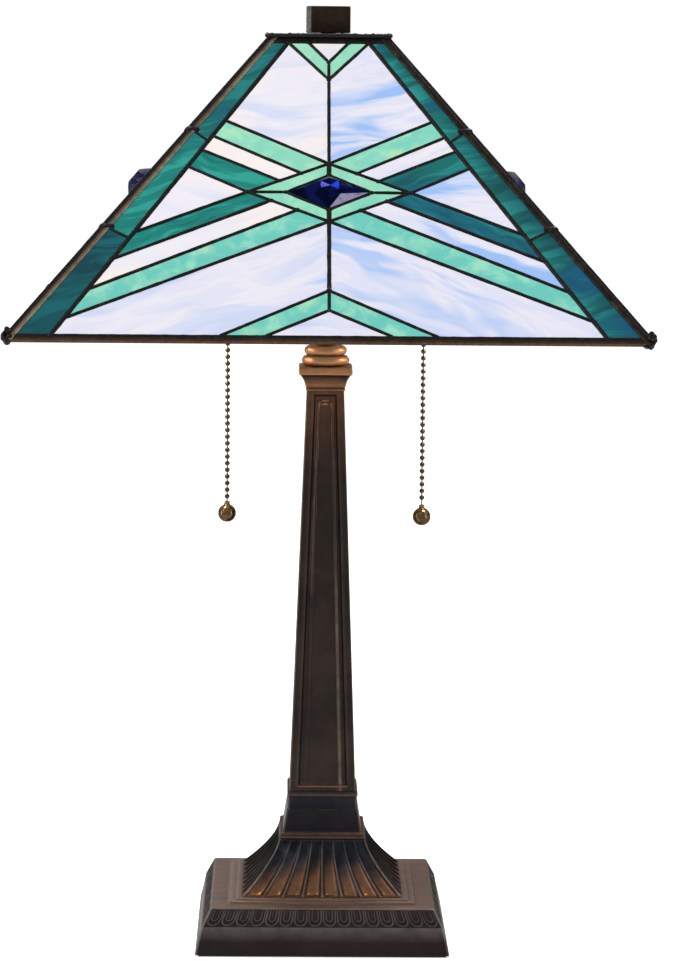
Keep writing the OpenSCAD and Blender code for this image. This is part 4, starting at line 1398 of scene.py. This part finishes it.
def neck():
    for node, name in (("lower_neck_ring", "torus_lower"), ("upper_neck_ring", "torus_upper")):
        lo, hi = mm_box(node)
        R, z0, z1 = hi.x, lo.z, hi.z
        c = (z1 - z0) / 2
        zc = (z0 + z1) / 2
        prof = [(5.3, z0), (R - c - 0.6, z0)]
        for k in range(15):
            a = -math.pi / 2 + math.pi * k / 14
            prof.append((R - c + c * math.cos(a), zc + c * math.sin(a)))
        prof += [(R - c - 0.6, z1), (5.3, z1)]
        v, f, w = lathe_data(prof + [prof[0]], 72)
        n = len(v)
        # painted light: the upper half of each ring takes the lighter copper colour, as light from the bulbs above
        # falls on it
        make(name, v, f, "root", COPPER_RING, (node,), {"wear": [0.25] * n, "copper": [min(1, max(0, 0.5 + 0.5 * (p[2] - zc) / c)) for p in v]}, smooth=40)
    lo, hi = mm_box("neck_spacer")
    prof = [(5.15, lo.z), (6.8, lo.z), (7.0, lo.z + 0.3), (7.0, lo.z + 5), (6.6, lo.z + 5.4), (6.6, lo.z + 6.4), (7.0, lo.z + 6.8), (7.0, hi.z - 0.4), (6.7, hi.z), (5.15, hi.z)]
    v, f, w = lathe_data(prof + [prof[0]], 40)
    make("neck_tube", v, f, "root", BRONZE, ("neck_spacer",), {"wear": [0.3] * len(v), "copper": [0.3] * len(v)}, smooth=40)


COPPER_RING = metal("ring_copper", "#6a4a35", "#8a6145", "#b98d68", metallic=0.7, rough=(0.36, 0.44), copper="#a87b58", scale=30, grain=0.01)
neck()


# ------------------------------------------------------------------ lights inside the shade
def socket_frame(s):
    return Matrix.Translation((s * 26, 0, 446)) @ Matrix.Rotation(math.radians(s * 75), 4, "Y")


def sockets():
    for s, side in ((-1, "left"), (1, "right")):
        m = socket_frame(s)
        # cap
        prof = fillet([(4, 0.02), (9, 0.02), (14, 3), (17, 8), (17.9, 11.5), (17.6, 12.1), (18.2, 12.8), (18.2, 18), (17.1, 18), (17.1, 15), (16, 8.6), (13, 4.2), (9, 1.4), (4, 1.4)], 0.5, 2)
        v, f, w = lathe_data([p[:2] + (p[2],) for p in prof] + [prof[0]], 56)
        make(f"{side}_socket_dome", transform(v, m), f, "root", BRASS_NEW, (f"{side}_socket_cap",), {"wear": w}, smooth=40)
        # shell with rolled grooves
        prof = fillet([(17, 15.02), (17, 20), (16.6, 20.6), (16.6, 21.6), (17, 22.2), (17, 47), (16.5, 47.7), (16.5, 49), (17, 49.7), (17, 53.6), (16.6, 54.2), (17, 54.8), (16.9, 56), (15.8, 56), (15.8, 15.02)], 0.3, 2)
        v, f, w = lathe_data(prof + [prof[0]], 64)
        make(f"{side}_socket_body", transform(v, m), f, "root", BRASS_NEW, (f"{side}_socket_shell",), {"wear": w}, smooth=40)
        # screw base of the bulb, with a rolled thread
        rings = []
        seg = 48
        zs = [37 + 24 * k / 72 for k in range(73)]
        for z in zs:
            ring = []
            for k in range(seg):
                th = 2 * math.pi * k / seg
                on = smoothstep(38, 39.5, z) * smoothstep(52, 50.5, z)
                r = 12.98 - 0.75 * on * (0.5 - 0.5 * math.cos(2 * math.pi * (z / 3.2) - th))
                if z < 37.6:
                    r -= 0.6
                ring.append((r * math.cos(th), r * math.sin(th), z))
            rings.append(ring)
        for r, z in ((12.4, 61), (12.4, 52.5), (11.4, 51.5), (11.4, 40)):
            rings.append([(r * math.cos(2 * math.pi * k / seg), r * math.sin(2 * math.pi * k / seg), z) for k in range(seg)])
        v, f = stack(rings)
        nb = len(v)
        tip = [(r * math.cos(2 * math.pi * k / seg), r * math.sin(2 * math.pi * k / seg), z) for r, z in ((4, 34.52), (9, 37.02)) for k in range(seg)]
        f2 = [tuple(nb + i for i in fc) for fc in stack([tip[:seg], tip[seg:]])[1]]
        make(f"{side}_bulb_screw", transform(v + tip, m), f + f2, "root", BULB_CAP, (f"{side}_bulb_base",), smooth=40)
        # envelope
        R, c = 24.0, 97.0
        prof = [(11.3, 52), (12.3, 52), (12.3, 60), (12.7, 63.5), (13.6, 67), (15.2, 71.2)]
        pts = []
        for k in range(25):
            a = -46 + (90 + 46) * k / 24
            pts.append(((R - 0.02) * math.cos(math.radians(a)), c + (R - 0.02) * math.sin(math.radians(a))))
        pts = [q for q in pts if q[1] > 74.5]
        pts[-1] = (0.0, c + R - 0.02)
        ins = [(0.0, c + R - 1)] + [(q[0] - 1.0, c + (q[1] - c) * 0.96) for q in reversed(pts[:-1]) if q[0] > 1.5]
        v, f, w = lathe_data(prof + pts, 56)
        v2, f2, w2 = lathe_data([(q[0], q[1]) for q in ins] + [(14.2, 71.5), (12.6, 67), (11.7, 63.5), (11.3, 60), (11.3, 52)], 56)
        nb = len(v)
        make(f"{side}_bulb_envelope", transform(v + v2, m), f + [tuple(nb + i for i in fc) for fc in f2], "root", BULB, (f"{side}_bulb_glass",), smooth=60)
        # a warm lamp beside each bulb lights the brass below the shade
        L = bpy.data.lights.new(f"bulb_light_{side}", "POINT")
        L.energy = 0.9
        L.color = (1.0, 0.80, 0.55)
        L.shadow_soft_size = 0.03
        o = bpy.data.objects.new(L.name, L)
        o.location = (m @ Vector((0, 0, 97))) * MM + Vector((0, 0, -0.028))
        scene.collection.objects.link(o)


sockets()


# ------------------------------------------------------------------ pull chains
def beads(bag, x, zs, r):
    for n, z in enumerate(zs):
        v, f = sphere_data((x, 0, z), r, 16, 11, (1, 1, 0.97))
        # painted highlight: the upper half of each bead is lighter
        bag.add(v, f, wear=[0.35 + 0.4 * max(0, (p[2] - z) / r) for p in v])


def wire(bag, x, z0, z1, r=0.42, seg=10):
    v, f, w = lathe_data([(0, z0), (r, z0), (r, z1), (0, z1)], seg)
    bag.add([(p[0] + x, p[1], p[2]) for p in v], f, wear=[0.2] * len(v))


def chains():
    for side in ("left", "right"):
        lo, hi = mm_box(side + "_chain")
        x = (lo.x + hi.x) / 2
        r = (hi.x - lo.x) / 2
        lo2, hi2 = mm_box(side + "_swivel_bead")
        piv = (lo2.z + hi2.z) / 2
        lob, hib = mm_box(side + "_pull_ball")
        ball_r = (hib.x - lob.x) / 2
        zc = lob.z + ball_r - 0.3
        lol, hil = mm_box(side + "_pull_link")
        p = 4.6
        bag = Bag()
        wire(bag, x, piv + 1.8, hil.z - 0.1)
        beads(bag, x, [piv + 0.6 + p * k for k in range(1, 5)], r - 0.02)
        make(side + "_link_beads", bag.v, bag.f, side + "_pull", BRASS_CHAIN, (side + "_pull_link",), bag.a, smooth=60)
        bag = Bag()
        beads(bag, x, [piv], r - 0.02)
        make(side + "_swivel", bag.v, bag.f, side + "_swivel", BRASS_CHAIN, (side + "_swivel_bead",), bag.a, smooth=60)
        bag = Bag()
        n = int(math.floor((piv - zc - ball_r - 4) / p))
        wire(bag, x, zc + ball_r + 2.0, piv - 1.9)
        beads(bag, x, [piv - p * k for k in range(1, n + 1)], r + 0.22)
        make(side + "_chain_beads", bag.v, bag.f, side + "_chain", BRASS_CHAIN, (side + "_chain",), bag.a, smooth=60)
        # ball with a ferrule, a fine seam round its middle and a flattened end
        prof = [(0, zc - ball_r + 0.32)]
        flat = math.sqrt(ball_r ** 2 - (ball_r - 0.32) ** 2)
        prof.append((flat * 0.8, zc - ball_r + 0.34))
        a0 = math.asin(-(ball_r - 0.32) / ball_r)
        a1 = math.asin((ball_r - 0.55) / ball_r)
        for k in range(27):
            a = a0 + (a1 - a0) * k / 26
            rr = ball_r - 0.02
            if abs(math.sin(a)) < 0.05:
                rr -= 0.14
            prof.append((rr * math.cos(a), zc + rr * math.sin(a)))
        top = hib.z
        prof += [(1.98, top - 2.1), (1.98, top - 1.5), (1.75, top - 1.3), (1.75, top - 0.9), (1.98, top - 0.7), (1.9, top - 0.15), (1.5, top), (0, top)]
        v, f, w = lathe_data(prof, 48)
        # painted highlight: the ball grows lighter towards its top
        make(side + "_ball", [(q[0] + x, q[1], q[2]) for q in v], f, side + "_chain", BRASS_BALL, (side + "_pull_ball",), {"wear": [0.5 * smoothstep(-2, 5, q[2] - zc) for q in v]}, smooth=60)


BRASS_CHAIN = metal("chain_brass", "#16120e", "#2a2119", "#7d6244", metallic=0.85, rough=(0.2, 0.3), scale=300, grain=0.01)
BRASS_BALL = metal("ball_brass", "#443324", "#5e4731", "#a8845a", metallic=0.9, rough=(0.16, 0.24), scale=120, grain=0.01)
chains()


# ------------------------------------------------------------------ finial
def finial():
    lo, hi = mm_box("finial")
    # the block is turned, so its half width comes from its box
    t = math.radians(7)
    h = hi.x / (math.cos(t) + math.sin(t))
    z0, z1 = lo.z, hi.z
    sec = [(h - 0.6, z0 + 0.02), (h - 0.02, z0 + 0.6), (h - 0.02, z1 - 0.7), (h - 0.6, z1 - 0.02), (h - 3.0, z1 - 0.02)]
    rows = [(5.3, z0 + 10.8, 0, False), (5.3, z0 + 0.02, 0, False)] + [(a, z, tt, False) for a, z, tt in fillet(sec, 0.35, 3)]

    def xs_of(a, z):
        e = a - min(0.8, a * 0.4)
        return [(-1 + 2 * k / 10) * e for k in range(11)]

    square_relief("finial_block", rows, xs_of, lambda *a: 0, "finial", BRONZE_DARK, ("finial",), rc=0.7, closed=False, turn=7.0)


finial()


# ------------------------------------------------------------------ carried-over CAD nodes
def finish_node(node, mat):
    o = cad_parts[node]
    o.data.materials.clear()
    o.data.materials.append(mat)


for node, mat in (("felt_pad", FELT), ("ballast_weight", IRON), ("cord_bushing", BLACK_PLASTIC), ("bottom_washer", BRASS_NEW), ("bottom_nut", BRASS_NEW),
                  ("lamp_pipe", BRASS_NEW), ("cluster_body", BRASS_NEW), ("riser_pipe", BRASS_NEW), ("shade_seat_nut", BRASS_NEW),
                  ("socket_cores", PORCELAIN), ("chain_nozzles", BRASS_NEW)):
    finish_node(node, mat)


# ------------------------------------------------------------------ floor, world and studio lights
def studio():
    me = bpy.data.meshes.new("floor")
    z = -0.0002
    me.from_pydata([(-6, -4, z), (6, -4, z), (6, 8, z), (-6, 8, z)], [], [(0, 1, 2, 3)])
    fl = bpy.data.objects.new("floor", me)
    scene.collection.objects.link(fl)
    k = Mat("floor_white", Roughness=0.9, Specular_IOR_Level=0.1)
    n = k.noise(k.coords(), 3, 2, 0.5)
    k.set("Base Color", k.mix(k.span(n, 0.3, 0.7), (0.93, 0.93, 0.93, 1), (0.95, 0.95, 0.95, 1)))
    k.set("Emission Color", (1, 1, 1, 1))
    k.set("Emission Strength", 0.55)
    me.materials.append(k.m)

    w = bpy.data.worlds.new("studio")
    scene.world = w
    w.use_nodes = True
    t = w.node_tree
    t.nodes.clear()
    out = t.nodes.new("ShaderNodeOutputWorld")
    seen, lit, mix = (t.nodes.new(x) for x in ("ShaderNodeBackground", "ShaderNodeBackground", "ShaderNodeMixShader"))
    seen.inputs["Color"].default_value = (1, 1, 1, 1)
    seen.inputs["Strength"].default_value = 1.0
    path = t.nodes.new("ShaderNodeLightPath")
    geo = t.nodes.new("ShaderNodeTexCoord")
    sep = t.nodes.new("ShaderNodeSeparateXYZ")
    ramp = t.nodes.new("ShaderNodeValToRGB")
    mr = t.nodes.new("ShaderNodeMapRange")
    mr.inputs["From Min"].default_value, mr.inputs["From Max"].default_value = -1, 1
    t.links.new(geo.outputs["Generated"], sep.inputs[0])
    t.links.new(sep.outputs["Z"], mr.inputs["Value"])
    t.links.new(mr.outputs["Result"], ramp.inputs["Fac"])
    e = ramp.color_ramp.elements
    e[0].position, e[0].color = 0.0, (0.22, 0.21, 0.20, 1)
    e[1].position, e[1].color = 1.0, (0.95, 0.95, 0.97, 1)
    for p, v in ((0.5, 0.20), (0.62, 0.30), (0.8, 0.8)):
        el = e.new(p)
        el.color = (v, v, v * 1.01, 1)
    t.links.new(ramp.outputs["Color"], lit.inputs["Color"])
    lit.inputs["Strength"].default_value = 1.0
    t.links.new(path.outputs["Is Camera Ray"], mix.inputs["Fac"])
    t.links.new(lit.outputs[0], mix.inputs[1])
    t.links.new(seen.outputs[0], mix.inputs[2])
    t.links.new(mix.outputs[0], out.inputs["Surface"])

    def area(name, loc, aim, size, energy, color=(1, 1, 1)):
        L = bpy.data.lights.new(name, "AREA")
        L.shape = "RECTANGLE"
        L.size, L.size_y = size
        L.energy = energy
        L.color = color
        o = bpy.data.objects.new(name, L)
        o.location = loc
        o.rotation_euler = (Vector(aim) - Vector(loc)).to_track_quat("-Z", "Y").to_euler()
        scene.collection.objects.link(o)
        return o

    area("top_left", (-1.3, -1.2, 1.7), (0, 0, 0.3), (1.0, 1.0), 14)
    area("right_strip", (1.5, -0.9, 0.5), (0, 0, 0.25), (0.18, 1.1), 7, (1.0, 0.97, 0.90))
    area("left_strip", (-1.5, -0.35, 0.45), (0, 0, 0.25), (0.2, 1.1), 6, (1.0, 0.93, 0.93))
    rim_light = area("back_left", (-0.52, 2.0, 0.66), (0, 0, 0.63), (0.5, 0.3), 3.0)
    rim_light.visible_camera = False
    area("back_top", (0.3, 1.6, 1.8), (0, 0, 0.3), (1.4, 1.0), 12)
    scene.view_settings.view_transform = "Standard"
    scene.view_settings.look = "None"


studio()
